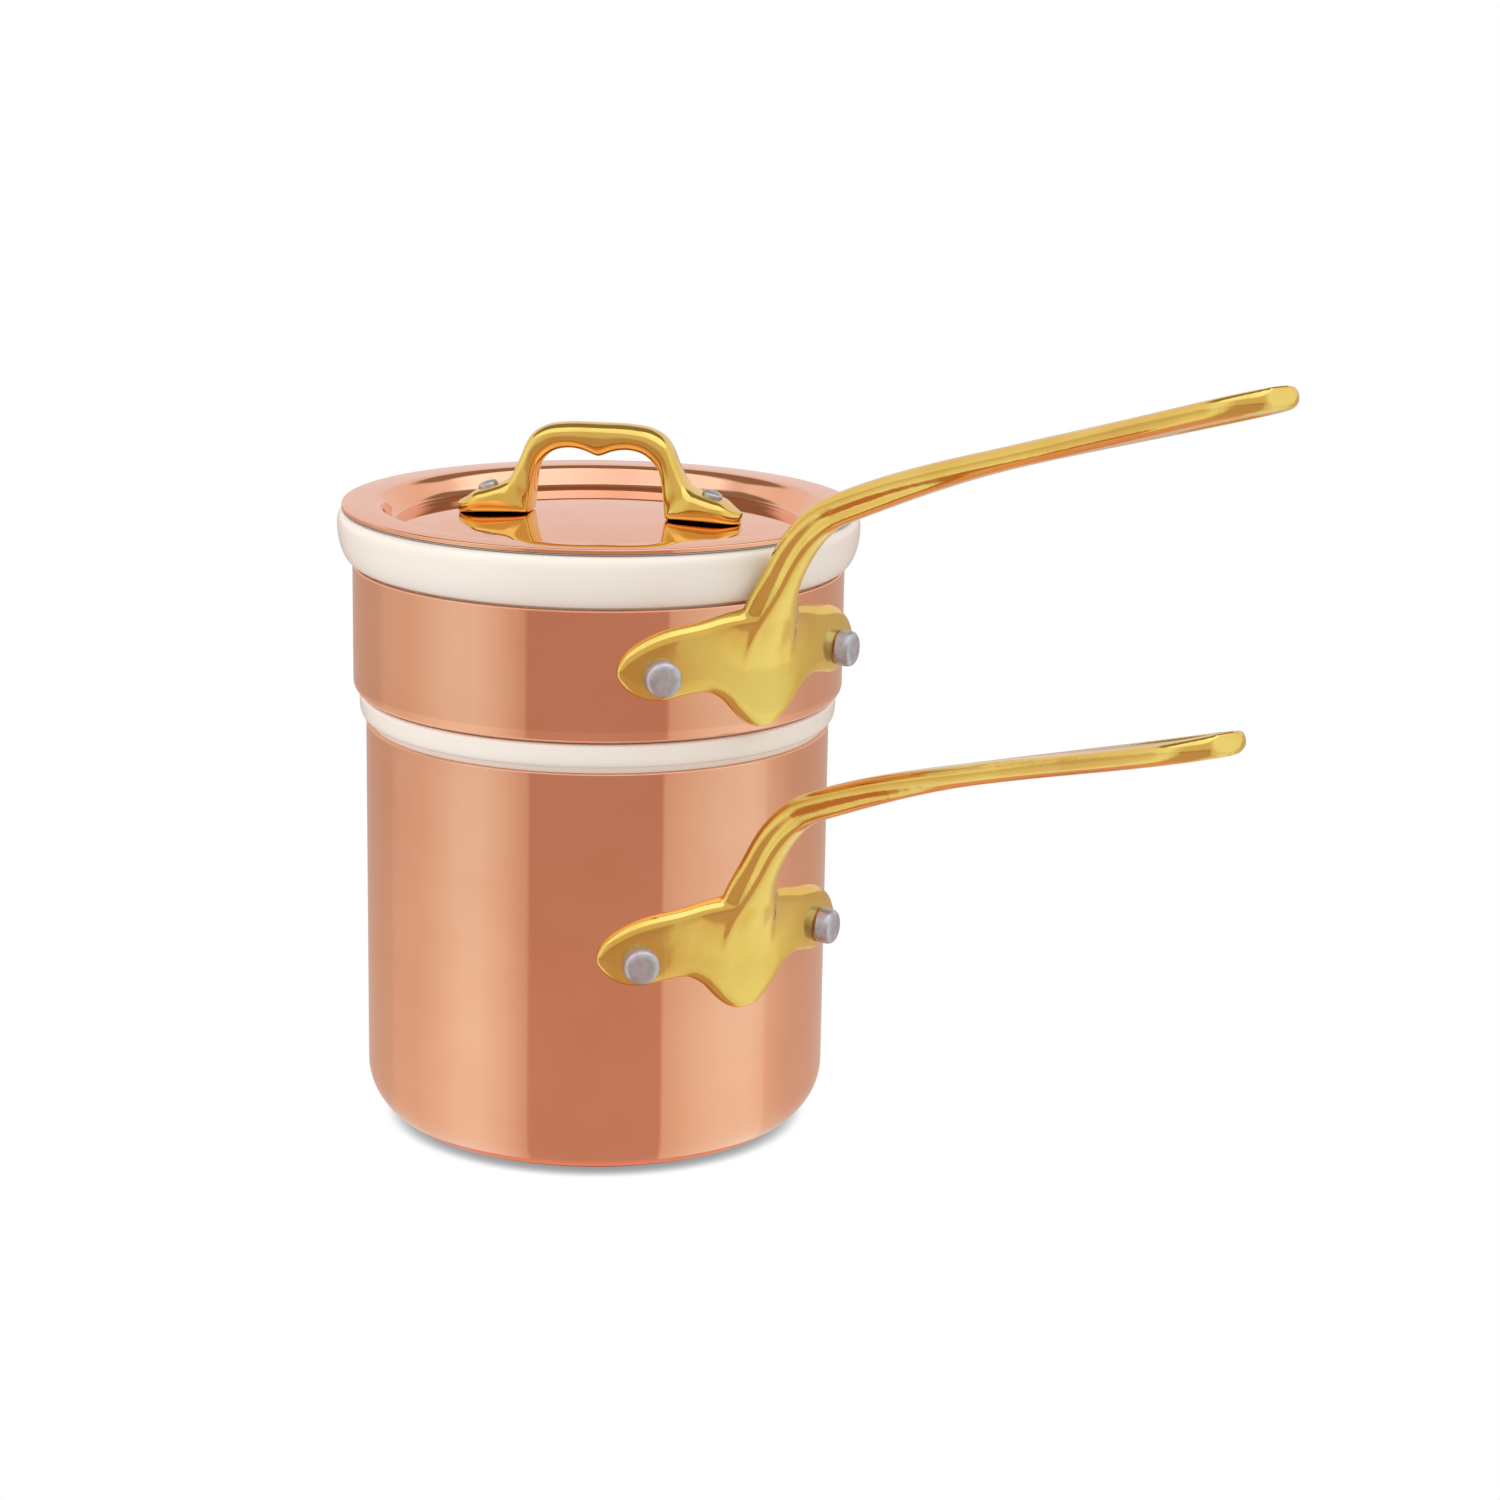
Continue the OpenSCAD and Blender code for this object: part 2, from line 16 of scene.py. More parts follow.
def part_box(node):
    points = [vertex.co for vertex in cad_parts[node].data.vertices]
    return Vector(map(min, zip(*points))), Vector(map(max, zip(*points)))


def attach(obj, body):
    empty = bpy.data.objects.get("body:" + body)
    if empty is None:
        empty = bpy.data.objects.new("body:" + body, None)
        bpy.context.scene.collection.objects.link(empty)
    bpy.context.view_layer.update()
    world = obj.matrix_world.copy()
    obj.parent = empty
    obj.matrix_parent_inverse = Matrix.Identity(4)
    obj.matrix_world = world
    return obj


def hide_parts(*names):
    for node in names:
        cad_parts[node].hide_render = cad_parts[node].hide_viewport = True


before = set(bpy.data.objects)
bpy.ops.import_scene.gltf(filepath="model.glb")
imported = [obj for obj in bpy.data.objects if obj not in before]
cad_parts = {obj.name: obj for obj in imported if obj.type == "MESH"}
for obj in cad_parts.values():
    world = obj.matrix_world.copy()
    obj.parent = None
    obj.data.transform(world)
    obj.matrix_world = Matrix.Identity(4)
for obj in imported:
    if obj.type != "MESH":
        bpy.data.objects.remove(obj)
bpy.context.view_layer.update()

bl_info = {
    "name": "Double Boiler",
    "version": (1, 0, 0),
    "blender": (4, 5, 0),
    "location": "View3D > Sidebar > Double Boiler",
    "description": "Builds a copper double boiler with a porcelain insert and its studio",
    "category": "Object",
}

MM = 0.001
SPIN_STEPS = 192
BOND_GAP = 0.02
SEAT_GAP = 0.03
COLLAR_GAP = 0.1
REST_GAP = 0.05
RIVET_OVER_FOOT = 16
LID_MOUTH_GAP = 0.4
LID_WALL_RUN = 3
GRIP_SEAT = 5.9
GRIP_SLOPE = 18
GRIP_RIVET_INSET = 8
CASTING_VOXEL = 0.42
CASTING_SMOOTHING = 16

POT_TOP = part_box("pot_shell")[1]
INSERT_FOOT, INSERT_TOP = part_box("porcelain_insert")
COLLAR_FOOT, COLLAR_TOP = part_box("collar_band")
LID_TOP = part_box("lid_shell")[1]
POT_GRIP_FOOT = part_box("pot_handle")[0]
COLLAR_GRIP_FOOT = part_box("collar_handle")[0]


def length(name, default, description):
    """A size in metres that the sidebar shows as a length."""
    return FloatProperty(name=name, description=description, default=default, min=0.0,
                         unit="LENGTH", subtype="DISTANCE", precision=5)


def angle(name, default, description):
    """An angle that the sidebar shows in degrees."""
    return FloatProperty(name=name, description=description, default=math.radians(default),
                         unit="ROTATION", subtype="ANGLE")


def colour(name, default, description):
    """A linear colour."""
    return FloatVectorProperty(name=name, description=description, default=default, size=3,
                               subtype="COLOR", min=0.0, max=1.0)


def share(name, default, description):
    """A number from 0 to 1."""
    return FloatProperty(name=name, description=description, default=default, min=0.0, max=1.0,
                         subtype="FACTOR")


class BoilerSizes(bpy.types.PropertyGroup):
    """Sizes of the pot, the insert, the lid and the handles."""

    pot_radius: length("Pot radius", POT_TOP.x, "Outside radius of the pot's wall")
    pot_height: length("Pot height", POT_TOP.z, "Height of the pot's rim above the table")
    pot_corner: length("Pot corner", 15 * MM, "Radius of the corner between wall and base")
    copper: length("Copper sheet", 1.3 * MM, "Thickness of the copper sheet")
    lining: length("Steel lining", 0.2 * MM, "Thickness of the steel lining")
    lip_radius: length("Lip radius", INSERT_TOP.x, "Outside radius of the porcelain lip")
    lip_top: length("Lip top", INSERT_TOP.z, "Height of the lip above the table")
    lip_height: length("Lip height", 14.2 * MM, "Height of the lip's band")
    lip_width: length("Lip width", 10.8 * MM, "Width of the lip's top, to its mouth")
    rim_groove: length("Rim groove", 0.9 * MM, "Height of the groove over the pot's rim")
    shoulder_out: length("Shoulder", 1.7 * MM, "How far the shoulder stands out past the pot")
    cup_foot: length("Cup foot", INSERT_FOOT.z, "Height of the cup's foot above the table")
    porcelain: length("Porcelain", 4.2 * MM, "Thickness of the porcelain")
    water_gap: length("Water gap", 8 * MM, "Width of the water space round the cup")
    collar: length("Collar sheet", 1.5 * MM, "Thickness of the collar")
    collar_roll: length("Collar roll", 3.4 * MM, "Radius of the collar's turned lower edge")
    lid_radius: length("Lid radius", LID_TOP.x, "Outside radius of the lid")
    lid_sink: length("Lid sink", 5.6 * MM, "Depth of the lid's sunken middle at its wall")
    lid_crown: length("Lid crown", 2.6 * MM, "Rise of the lid's crowned middle")
    lid_turn: angle("Lid turn", 42, "Turn of the lid from the line of the pot's handle")
    collar_turn: angle("Handle turn", 1.9, "Turn of the upper handle from the lower one")
    handle_reach: length("Handle reach", 168 * MM, "Reach of a long handle from the wall")
    handle_rise: length("Handle rise", 88 * MM, "Height of a handle's tip above its rivets")
    bar_width: length("Bar width", 10.6 * MM, "Width of a long handle at its waist")
    bar_depth: length("Bar depth", 5.3 * MM, "Thickness of a long handle's bar")
    rib_depth: length("Rib depth", 2.4 * MM, "Depth of the rib under a long handle's stem")
    eye_width: length("Eye width", 24 * MM, "Width of a long handle at its hanging eye")
    flange_depth: length("Flange", 4.6 * MM, "Thickness of a long handle's riveted flange")
    rivet_gap: length("Rivet spacing", 57 * MM, "Distance between a flange's rivets along the wall")
    rivet_head: length("Rivet head", 9.2 * MM, "Diameter of a wall rivet's head")
    grip_half: length("Lid handle half length", 38 * MM, "Half the length of the lid's handle")
    grip_rise: length("Lid handle rise", 24 * MM, "Height of the lid's handle over the lid")


class BoilerFinish(bpy.types.PropertyGroup):
    """Colours and polish of the metals and the glaze."""

    copper: colour("Copper", (0.913, 0.509, 0.328), "Colour of the polished copper")
    bronze: colour("Bronze", (0.860, 0.660, 0.175), "Colour of the polished bronze")
    steel: colour("Steel", (0.56, 0.56, 0.55), "Colour of the steel lining")
    rivet: colour("Rivet", (0.58, 0.60, 0.64), "Colour of the rivet heads")
    glaze: colour("Glaze", (0.95, 0.875, 0.805), "Colour of the glazed porcelain")
    copper_polish: share("Copper roughness", 0.02, "Roughness of the polished copper")
    bronze_polish: share("Bronze roughness", 0.10, "Roughness of the polished bronze")


def sizes_in_mm():
    """The sizes as a plain namespace: lengths in millimetres, angles in degrees."""
    group = bpy.context.scene.boiler_sizes
    plain = {}
    for name, made in BoilerSizes.__annotations__.items():
        value = getattr(group, name)
        plain[name] = math.degrees(value) if made.keywords["unit"] == "ROTATION" else value / MM
    return type("Sizes", (), plain)


# Curves, in millimetres


def mix(a, b, t):
    return a + (b - a) * t


def smooth(t):
    t = min(1.0, max(0.0, t))
    return t * t * (3 - 2 * t)


def bezier(points, t):
    a, b, c, d = (Vector(p) for p in points)
    s = 1 - t
    return s ** 3 * a + 3 * s * s * t * b + 3 * s * t * t * c + t ** 3 * d


def bezier_direction(points, t):
    a, b, c, d = (Vector(p) for p in points)
    s = 1 - t
    return (s * s * (b - a) + 2 * s * t * (c - b) + t * t * (d - c)).normalized()


def curve(points, steps):
    return [bezier(points, k / steps) for k in range(steps + 1)]


def arc(centre, radius, start, stop, steps):
    """Points on a round stretch, with its angles in degrees."""
    turns = [math.radians(mix(start, stop, k / steps)) for k in range(steps + 1)]
    return [Vector((centre[0] + radius * math.cos(t), centre[1] + radius * math.sin(t))) for t in turns]


def straight(start, stop, near=0.5):
    """A straight stretch with a point close to each end, so that shading stays at its corners."""
    a, b = Vector(start), Vector(stop)
    step = (b - a).normalized() * min(near, (b - a).length / 3)
    return [a, a + step, b - step, b]


def spline(points, steps):
    """A smooth line through points of any dimension, with its ends kept."""
    points = [Vector(p) for p in points]
    line = []
    for i in range(len(points) - 1):
        a, b = points[max(i - 1, 0)], points[i]
        c, d = points[i + 1], points[min(i + 2, len(points) - 1)]
        for k in range(steps):
            t = k / steps
            line.append((2 * b + (c - a) * t + (2 * a - 5 * b + 4 * c - d) * t * t
                         + (3 * b - a - 3 * c + d) * t ** 3) / 2)
    return line + [points[-1]]


def beside(line, distance):
    """The line moved sideways, to the right of its direction."""
    moved = []
    for i, point in enumerate(line):
        way = (line[min(i + 1, len(line) - 1)] - line[max(i - 1, 0)]).normalized()
        moved.append(point + distance * Vector((way.y, -way.x)))
    return moved


def height_at(line, x):
    """The height of a line of (x, height) points at x."""
    for a, b in zip(line, line[1:]):
        if x <= b[0]:
            return mix(a[1], b[1], (x - a[0]) / max(b[0] - a[0], 1e-9))
    return line[-1][1]


# Modelling tools


def pick(piece):
    """Leaves only this piece selected."""
    bpy.ops.object.select_all(action="DESELECT")
    piece.select_set(True)
    bpy.context.view_layer.objects.active = piece


@contextmanager
def editing(piece):
    """Edit mode on one piece, with all of it selected."""
    pick(piece)
    bpy.ops.object.mode_set(mode="EDIT")
    bpy.ops.mesh.select_all(action="SELECT")
    yield bmesh.from_edit_mesh(piece.data)
    bpy.ops.object.mode_set(mode="OBJECT")


def finished_by(piece, kind, **settings):
    """Adds a modifier and applies it."""
    pick(piece)
    modifier = piece.modifiers.new(kind.title(), kind)
    for name, value in settings.items():
        setattr(modifier, name, value)
    bpy.ops.object.modifier_apply(modifier=modifier.name)


def shade(piece, sharp_above=35):
    """Smooth shading that keeps edges steeper than an angle in degrees."""
    pick(piece)
    bpy.ops.object.shade_smooth_by_angle(angle=math.radians(sharp_above))


def turned(name, outline, loop=False):
    """Spins an outline of (radius, height) points round the Z axis."""
    if loop:
        outline = outline + outline[:1]
    bpy.ops.mesh.primitive_plane_add(size=MM)
    piece = bpy.context.object
    piece.name = piece.data.name = name
    with editing(piece):
        bpy.ops.mesh.merge(type="CENTER")
        last = Vector((0, 0))
        for number, point in enumerate(Vector(p) for p in outline):
            step = (point - last) * MM
            if number == 0:
                bpy.ops.transform.translate(value=(step.x, 0, step.y))
            elif step.length > 1e-7:
                bpy.ops.mesh.extrude_vertices_move(TRANSFORM_OT_translate={"value": (step.x, 0, step.y)})
            last = point
        bpy.ops.mesh.select_all(action="SELECT")
        bpy.ops.mesh.spin(steps=SPIN_STEPS, angle=math.tau, center=(0, 0, 0), axis=(0, 0, 1))
        bpy.ops.mesh.select_all(action="SELECT")
        bpy.ops.mesh.remove_doubles(threshold=2e-6)
        bpy.ops.mesh.normals_make_consistent(inside=False)
    return piece


def lofted(name, rings):
    """Extrudes a circle from ring to ring, gives each copy the ring's points and closes both ends."""
    bpy.ops.mesh.primitive_circle_add(vertices=len(rings[0]), radius=MM)
    piece = bpy.context.object
    piece.name = piece.data.name = name
    with editing(piece) as mesh:
        last = first = list(mesh.verts)
        for number, ring in enumerate(rings):
            if number:
                bpy.ops.mesh.extrude_region_move()
                last = [next(e.other_vert(v) for e in v.link_edges if e.other_vert(v).select)
                        for v in last]
            for vert, point in zip(last, ring):
                vert.co = Vector(point) * MM
        bpy.ops.mesh.edge_face_add()
        bpy.ops.mesh.select_all(action="DESELECT")
        for vert in first:
            vert.select = True
        mesh.select_flush(True)
        bpy.ops.mesh.edge_face_add()
        bpy.ops.mesh.select_all(action="SELECT")
        bpy.ops.mesh.normals_make_consistent(inside=False)
    return piece


def joined(name, *pieces):
    """One piece from several."""
    bpy.ops.object.select_all(action="DESELECT")
    for piece in pieces:
        piece.select_set(True)
    bpy.context.view_layer.objects.active = pieces[0]
    bpy.ops.object.join()
    pieces[0].name = pieces[0].data.name = name
    return pieces[0]


def placed(piece, matrix):
    """Moves the mesh and leaves the object at the origin."""
    with editing(piece) as mesh:
        bmesh.ops.transform(mesh, matrix=matrix, verts=mesh.verts)
        bmesh.update_edit_mesh(piece.data)
    return piece


def dressed(piece, body, slot, *nodes):
    """Gives a piece its slot's finish and its place in the frame."""
    piece.data.materials.clear()
    piece.data.materials.append(finish_of(slot))
    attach(piece, body)
    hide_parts(*nodes)


def turned_to(degrees, height=0.0):
    """Turn round the Z axis and a height in millimetres."""
    return Matrix.Translation((0, 0, height * MM)) @ Matrix.Rotation(math.radians(degrees), 4, "Z")


# Shader maths


class Number:
    """A socket that takes part in sums: each operator adds a Math node."""

    def __init__(self, nodes, socket):
        self.nodes, self.socket = nodes, socket

    def math(self, operation, *values):
        """A Math node over these values alone."""
        node = self.nodes.add("ShaderNodeMath", {"operation": operation}, dict(enumerate(values)))
        return Number(self.nodes, node.outputs[0])

    def __add__(self, other):
        return self.math("ADD", self, other)

    def __sub__(self, other):
        return self.math("SUBTRACT", self, other)

    def __rsub__(self, other):
        return self.math("SUBTRACT", other, self)

    def __mul__(self, other):
        return self.math("MULTIPLY", self, other)

    def __truediv__(self, other):
        return self.math("DIVIDE", self, other)

    def ease(self, low, high):
        """0 below low, 1 above high and smooth between."""
        node = self.nodes.add("ShaderNodeMapRange", {"interpolation_type": "SMOOTHSTEP"},
                              {"Value": self, "From Min": low, "From Max": high})
        return Number(self.nodes, node.outputs[0])


class Nodes:
    """A node tree that is filled by one method."""

    def __init__(self, tree):
        self.tree = tree
        tree.nodes.clear()

    def add(self, kind, settings=None, sockets=None):
        node = self.tree.nodes.new(kind)
        for name, value in (settings or {}).items():
            if name == "stops":
                self.set_stops(node.color_ramp, value)
            else:
                setattr(node, name, value)
        for key, value in (sockets or {}).items():
            if isinstance(value, Number):
                value = value.socket
            if isinstance(value, bpy.types.NodeSocket):
                self.tree.links.new(value, node.inputs[key])
            else:
                node.inputs[key].default_value = value
        return node

    def number(self, kind, settings=None, sockets=None, output=0):
        return Number(self, self.add(kind, settings, sockets).outputs[output])

    def vector(self, operation, *values, output=0):
        """A Vector Math node over these values."""
        node = self.add("ShaderNodeVectorMath", {"operation": operation}, dict(enumerate(values)))
        return node.outputs[output]

    @staticmethod
    def set_stops(ramp, stops):
        while len(ramp.elements) > 1:
            ramp.elements.remove(ramp.elements[-1])
        ramp.elements[0].position, ramp.elements[0].color = stops[0][0], (*stops[0][1], 1)
        for place, tint in stops[1:]:
            ramp.elements.new(place).color = (*tint, 1)

    def mixed(self, factor, first, second):
        """A colour between two colours."""
        node = self.add("ShaderNodeMix", {"data_type": "RGBA"}, {0: factor, 6: first, 7: second})
        return node.outputs[2]


class Finish(Nodes):
    """A material whose patterns follow Object coordinates, in millimetres."""

    def __init__(self, name):
        self.material = bpy.data.materials.new(name)
        self.material.use_nodes = True
        super().__init__(self.material.node_tree)
        self.shader = self.add("ShaderNodeBsdfPrincipled")
        self.add("ShaderNodeOutputMaterial", None, {"Surface": self.shader.outputs[0]})
        coordinates = self.add("ShaderNodeTexCoord").outputs["Object"]
        self.place = self.add("ShaderNodeVectorMath", {"operation": "SCALE"},
                              {0: coordinates, "Scale": 1 / MM}).outputs[0]
        parts = self.add("ShaderNodeSeparateXYZ", None, {0: self.place})
        self.x, self.y, self.z = (Number(self, parts.outputs[k]) for k in range(3))

    def noise(self, size, detail):
        """Noise from 0 to 1 with features of about this size in millimetres."""
        return self.number("ShaderNodeTexNoise", {"noise_dimensions": "3D"},
                           {"Vector": self.place, "Scale": 1 / size, "Detail": detail})

    def turning_lines(self, size):
        """Fine lines round the Z axis, as a lathe or a polishing wheel leaves them."""
        flat = self.add("ShaderNodeCombineXYZ", None, {0: self.x, 1: self.y}).outputs[0]
        radius = Number(self, self.vector("LENGTH", flat, output="Value"))
        across = (radius + self.z) / size
        along = self.add("ShaderNodeCombineXYZ", None, {0: self.x / 45, 1: self.y / 45, 2: across})
        return self.number("ShaderNodeTexNoise", {"noise_dimensions": "3D"},
                           {"Vector": along.outputs[0], "Scale": 1.0, "Detail": 3.0})

    def bump(self, height, distance):
        """Surface relief from a height in millimetres times distance."""
        node = self.add("ShaderNodeBump", None, {"Distance": distance * MM, "Height": height})
        self.tree.links.new(node.outputs[0], self.shader.inputs["Normal"])

    def set(self, **values):
        """Sets the shader's sockets; a name's underscores stand for spaces."""
        for name, value in values.items():
            socket = self.shader.inputs[name.replace("_", " ")]
            if isinstance(value, Number):
                value = value.socket
            if isinstance(value, bpy.types.NodeSocket):
                self.tree.links.new(value, socket)
            else:
                socket.default_value = (*value, 1) if hasattr(value, "__len__") else value


def tinted(base, factor):
    """A colour with each channel scaled, as a socket takes it."""
    return (*(min(1.0, c * f) for c, f in zip(base, factor)), 1)


def polished_copper():
    """Mirror-polished copper with faint turning lines and a slight warmth where it was handled."""
    look = bpy.context.scene.boiler_finish
    metal = Finish("polished_copper")
    lines = metal.turning_lines(0.35)
    clouds = metal.noise(28, 3)
    base = metal.mixed(clouds.ease(0.35, 0.75), (*look.copper, 1), tinted(look.copper, (0.97, 0.93, 0.90)))
    metal.set(Base_Color=base, Metallic=1.0,
              Roughness=lines * 0.015 + clouds * 0.012 + look.copper_polish)
    metal.bump(lines * 0.2 + clouds * 3, 0.004)
    return metal.material


def cast_bronze():
    """Polished cast bronze: soft waves from hand finishing and a little grain."""
    look = bpy.context.scene.boiler_finish
    metal = Finish("cast_bronze")
    waves = metal.noise(9, 2)
    grain = metal.noise(0.5, 2)
    clouds = metal.noise(16, 2)
    base = metal.mixed(clouds.ease(0.3, 0.75), (*look.bronze, 1),
                       tinted(look.bronze, (0.95, 0.90, 0.78)))
    metal.set(Base_Color=base, Metallic=1.0,
              Roughness=grain * 0.07 + waves * 0.06 + (look.bronze_polish - 0.05))
    metal.bump(waves * 1.2 + grain * 0.02, 0.12)
    return metal.material


def glazed_porcelain():
    """Warm white porcelain under a clear glaze."""
    look = bpy.context.scene.boiler_finish
    glaze = Finish("glazed_porcelain")
    clouds = glaze.noise(20, 2)
    specks = glaze.noise(1.1, 1).ease(0.70, 0.80)
    body = glaze.mixed(clouds.ease(0.3, 0.7), (*look.glaze, 1),
                       tinted(look.glaze, (1.0, 0.985, 0.965)))
    base = glaze.mixed(specks * 0.12, body, tinted(look.glaze, (0.86, 0.80, 0.72)))
    glaze.set(Base_Color=base, Roughness=clouds * 0.06 + 0.16, Coat_Weight=0.5, Coat_Roughness=0.04,
              Specular_IOR_Level=0.45)
    glaze.bump(glaze.noise(14, 1), 0.03)
    return glaze.material


def satin_steel():
    """Satin steel sheet with fine turning lines."""
    look = bpy.context.scene.boiler_finish
    metal = Finish("satin_steel")
    lines = metal.turning_lines(0.25)
    base = metal.mixed(lines, (*look.steel, 1), tinted(look.steel, (0.86, 0.86, 0.87)))
    metal.set(Base_Color=base, Metallic=0.72, Roughness=lines * 0.12 + 0.24)
    metal.bump(lines, 0.003)
    return metal.material


def rivet_steel():
    """Dull grey rivets, set with a hammer."""
    look = bpy.context.scene.boiler_finish
    metal = Finish("rivet_steel")
    dents = metal.noise(2.2, 2)
    grain = metal.noise(0.35, 2)
    base = metal.mixed(dents.ease(0.35, 0.7), (*look.rivet, 1),
                       tinted(look.rivet, (0.84, 0.85, 0.88)))
    metal.set(Base_Color=base, Metallic=0.85, Roughness=grain * 0.16 + 0.30)
    metal.bump(dents + grain * 0.12, 0.12)
    return metal.material


def finish_of(slot):
    """A slot's finish, made when it is first asked for."""
    maker = {"copper": polished_copper, "bronze": cast_bronze, "porcelain": glazed_porcelain,
             "lining": satin_steel, "rivet": rivet_steel}[slot]
    return bpy.data.materials.get(maker.__name__) or maker()


# Outlines, in millimetres


def pan_line(s, depth, rim_edge=0.0):
    """Half of the pot's section at a depth from its outer face, from the base's middle to the rim."""
    corner = s.pot_corner
    centre = (s.pot_radius - corner, corner)
    wall_x = s.pot_radius - depth
    line = straight((0, depth), (centre[0], depth))
    line += arc(centre, corner - depth, -90, 0, 20)
    line += straight((wall_x, corner), (wall_x, s.pot_height - rim_edge))[1:]
    if rim_edge:
        line += arc((wall_x - rim_edge, s.pot_height - rim_edge), rim_edge, 0, 90, 4)
    return line


def collar_outer_r(s):
    """Outside radius of the collar's band."""
    return s.pot_radius + s.shoulder_out + COLLAR_GAP + s.collar


def insert_outline(s):
    """The porcelain's section, from the middle of its underside round to the middle of its floor."""
    pot_inner_r = s.pot_radius - s.copper - BOND_GAP - s.lining
    shoulder_r = s.pot_radius + s.shoulder_out
    collar_r = collar_outer_r(s)
    neck_r = collar_r - s.collar_roll - COLLAR_GAP
    neck_z = s.pot_height + 8
    cup_r = pot_inner_r - s.water_gap
    cup_corner, foot_h, land_h, wall = 12, 1.5, 5, s.porcelain
    corner = Vector((cup_r - 3 - cup_corner, s.cup_foot + foot_h + cup_corner))
    foot_out = corner.x - 0.6
    step_r, step_z = pot_inner_r - 0.8, s.pot_height - 4.5
    flare_z = step_z - 12
    seat_z = s.pot_height + REST_GAP
    lip_r, top, foot = s.lip_radius, s.lip_top, s.lip_top - s.lip_height
    mouth_r, throat_r = s.lip_radius - s.lip_width, neck_r - wall
    line = straight((0, s.cup_foot + foot_h), (foot_out - 4, s.cup_foot + foot_h))
    line += curve([(foot_out - 3.9, s.cup_foot + foot_h), (foot_out - 3.6, s.cup_foot + foot_h),
                   (foot_out - 3.6, s.cup_foot), (foot_out - 3.2, s.cup_foot)], 5)
    line += curve([(foot_out - 0.9, s.cup_foot), (foot_out - 0.2, s.cup_foot),
                   (foot_out - 0.1, s.cup_foot + foot_h * 0.4), (foot_out, s.cup_foot + foot_h)], 5)
    line += arc(corner, cup_corner, -86, 0, 16)
    line += curve([(cup_r, flare_z), (cup_r + 0.2, step_z - 6),
                   (step_r, step_z - 7), (step_r, step_z)], 14)
    groove_z = seat_z + s.rim_groove
    seam_z = groove_z + 0.7
    line += straight((step_r, seat_z), (pot_inner_r + 0.5, seat_z), 0.2)
    line += straight((pot_inner_r + 0.9, seam_z), (s.pot_radius - 0.5, seam_z), 0.1)
    line += curve([(s.pot_radius - 0.4, seam_z), (s.pot_radius + 1.1, seam_z + 0.2),
                   (shoulder_r, seam_z + 1.2), (shoulder_r, neck_z - 1.6)], 14)
    line += arc((shoulder_r - 1.2, neck_z - 1.2), 1.2, 8, 90, 7)
    line += straight((neck_r, neck_z), (neck_r, foot - land_h - 2), 0.3)
    line += [Vector((shoulder_r, foot - land_h)), Vector((shoulder_r, foot + 0.45))]
    line += curve([(collar_r, foot + 0.5), (lip_r - 1.2, foot + 1.8),
                   (lip_r, foot + 6.5), (lip_r, top - 3.4)], 20)
    line += curve([(lip_r, top - 3.4), (lip_r, top - 1.2), (lip_r - 1.1, top), (lip_r - 3, top)], 12)[1:]
    line += curve([(mouth_r + 3, top), (mouth_r + 1.2, top),
                   (mouth_r, top - 0.8), (mouth_r, top - 3)], 10)
    line += curve([(mouth_r, top - 8), (mouth_r, foot - 2),
                   (throat_r, foot), (throat_r, foot - land_h - 4)], 14)
    line += curve([(throat_r, neck_z), (throat_r, step_z - 4), (cup_r - wall, step_z - 3),
                   (cup_r - wall, flare_z - 6)], 14)
    line += arc(corner, cup_corner - wall, 0, -90, 14)
    line += straight((corner.x, s.cup_foot + foot_h + wall), (0, s.cup_foot + foot_h + wall))[1:]
    return line


def collar_outline(s):
    """The collar's section: a plain band with its lower edge turned in."""
    outer = collar_outer_r(s)
    foot, top = COLLAR_FOOT.z / MM, COLLAR_TOP.z / MM
    centre = (outer - s.collar_roll, foot + s.collar_roll)
    edge, inner = 0.5, outer - s.collar
    line = arc(centre, s.collar_roll, -90, 0, 14)
    line += straight((outer, centre[1]), (outer, top - edge))[1:]
    line += arc((outer - edge, top - edge), edge, 0, 90, 4)[1:]
    line += arc((inner + edge, top - edge), edge, 90, 180, 4)
    line += straight((inner, top - edge), (inner, centre[1]))[1:]
    return line + arc(centre, s.collar_roll - s.collar, 0, -90, 12)[1:]


def lid_middle_z(s):
    """Height of the lid's top at its middle."""
    return LID_TOP.z / MM - s.lid_sink + s.lid_crown


def lid_floor_r(s):
    """Radius at which the lid's sunken middle meets its wall."""
    return s.lip_radius - s.lip_width - LID_MOUTH_GAP - LID_WALL_RUN


def crown_height(s, radius):
    """Height of the lid's crowned middle at a radius."""
    return lid_middle_z(s) - s.lid_crown * (radius / lid_floor_r(s)) ** 2


def lid_line(s):
    """The lid's top line, from its middle out to its edge."""
    top, floor_r = LID_TOP.z / MM, lid_floor_r(s)
    foot = Vector((floor_r, top - s.lid_sink))
    shoulder = Vector((floor_r + LID_WALL_RUN, top))
    wall = (shoulder - foot).normalized()
    crown_end = floor_r - 2.2
    line = [Vector((crown_end * k / 24, crown_height(s, crown_end * k / 24))) for k in range(25)]
    line += curve([line[-1], (floor_r - 0.7, crown_height(s, floor_r - 0.7)),
                   foot + 0.7 * wall, foot + 2.1 * wall], 12)[1:]
    line += curve([shoulder - 2.1 * wall, shoulder - 0.7 * wall, shoulder + Vector((0.7, 0)),
                   shoulder + Vector((2.1, 0))], 12)
    return line + straight(shoulder + Vector((2.6, 0)), (s.lid_radius, top), 0.4)


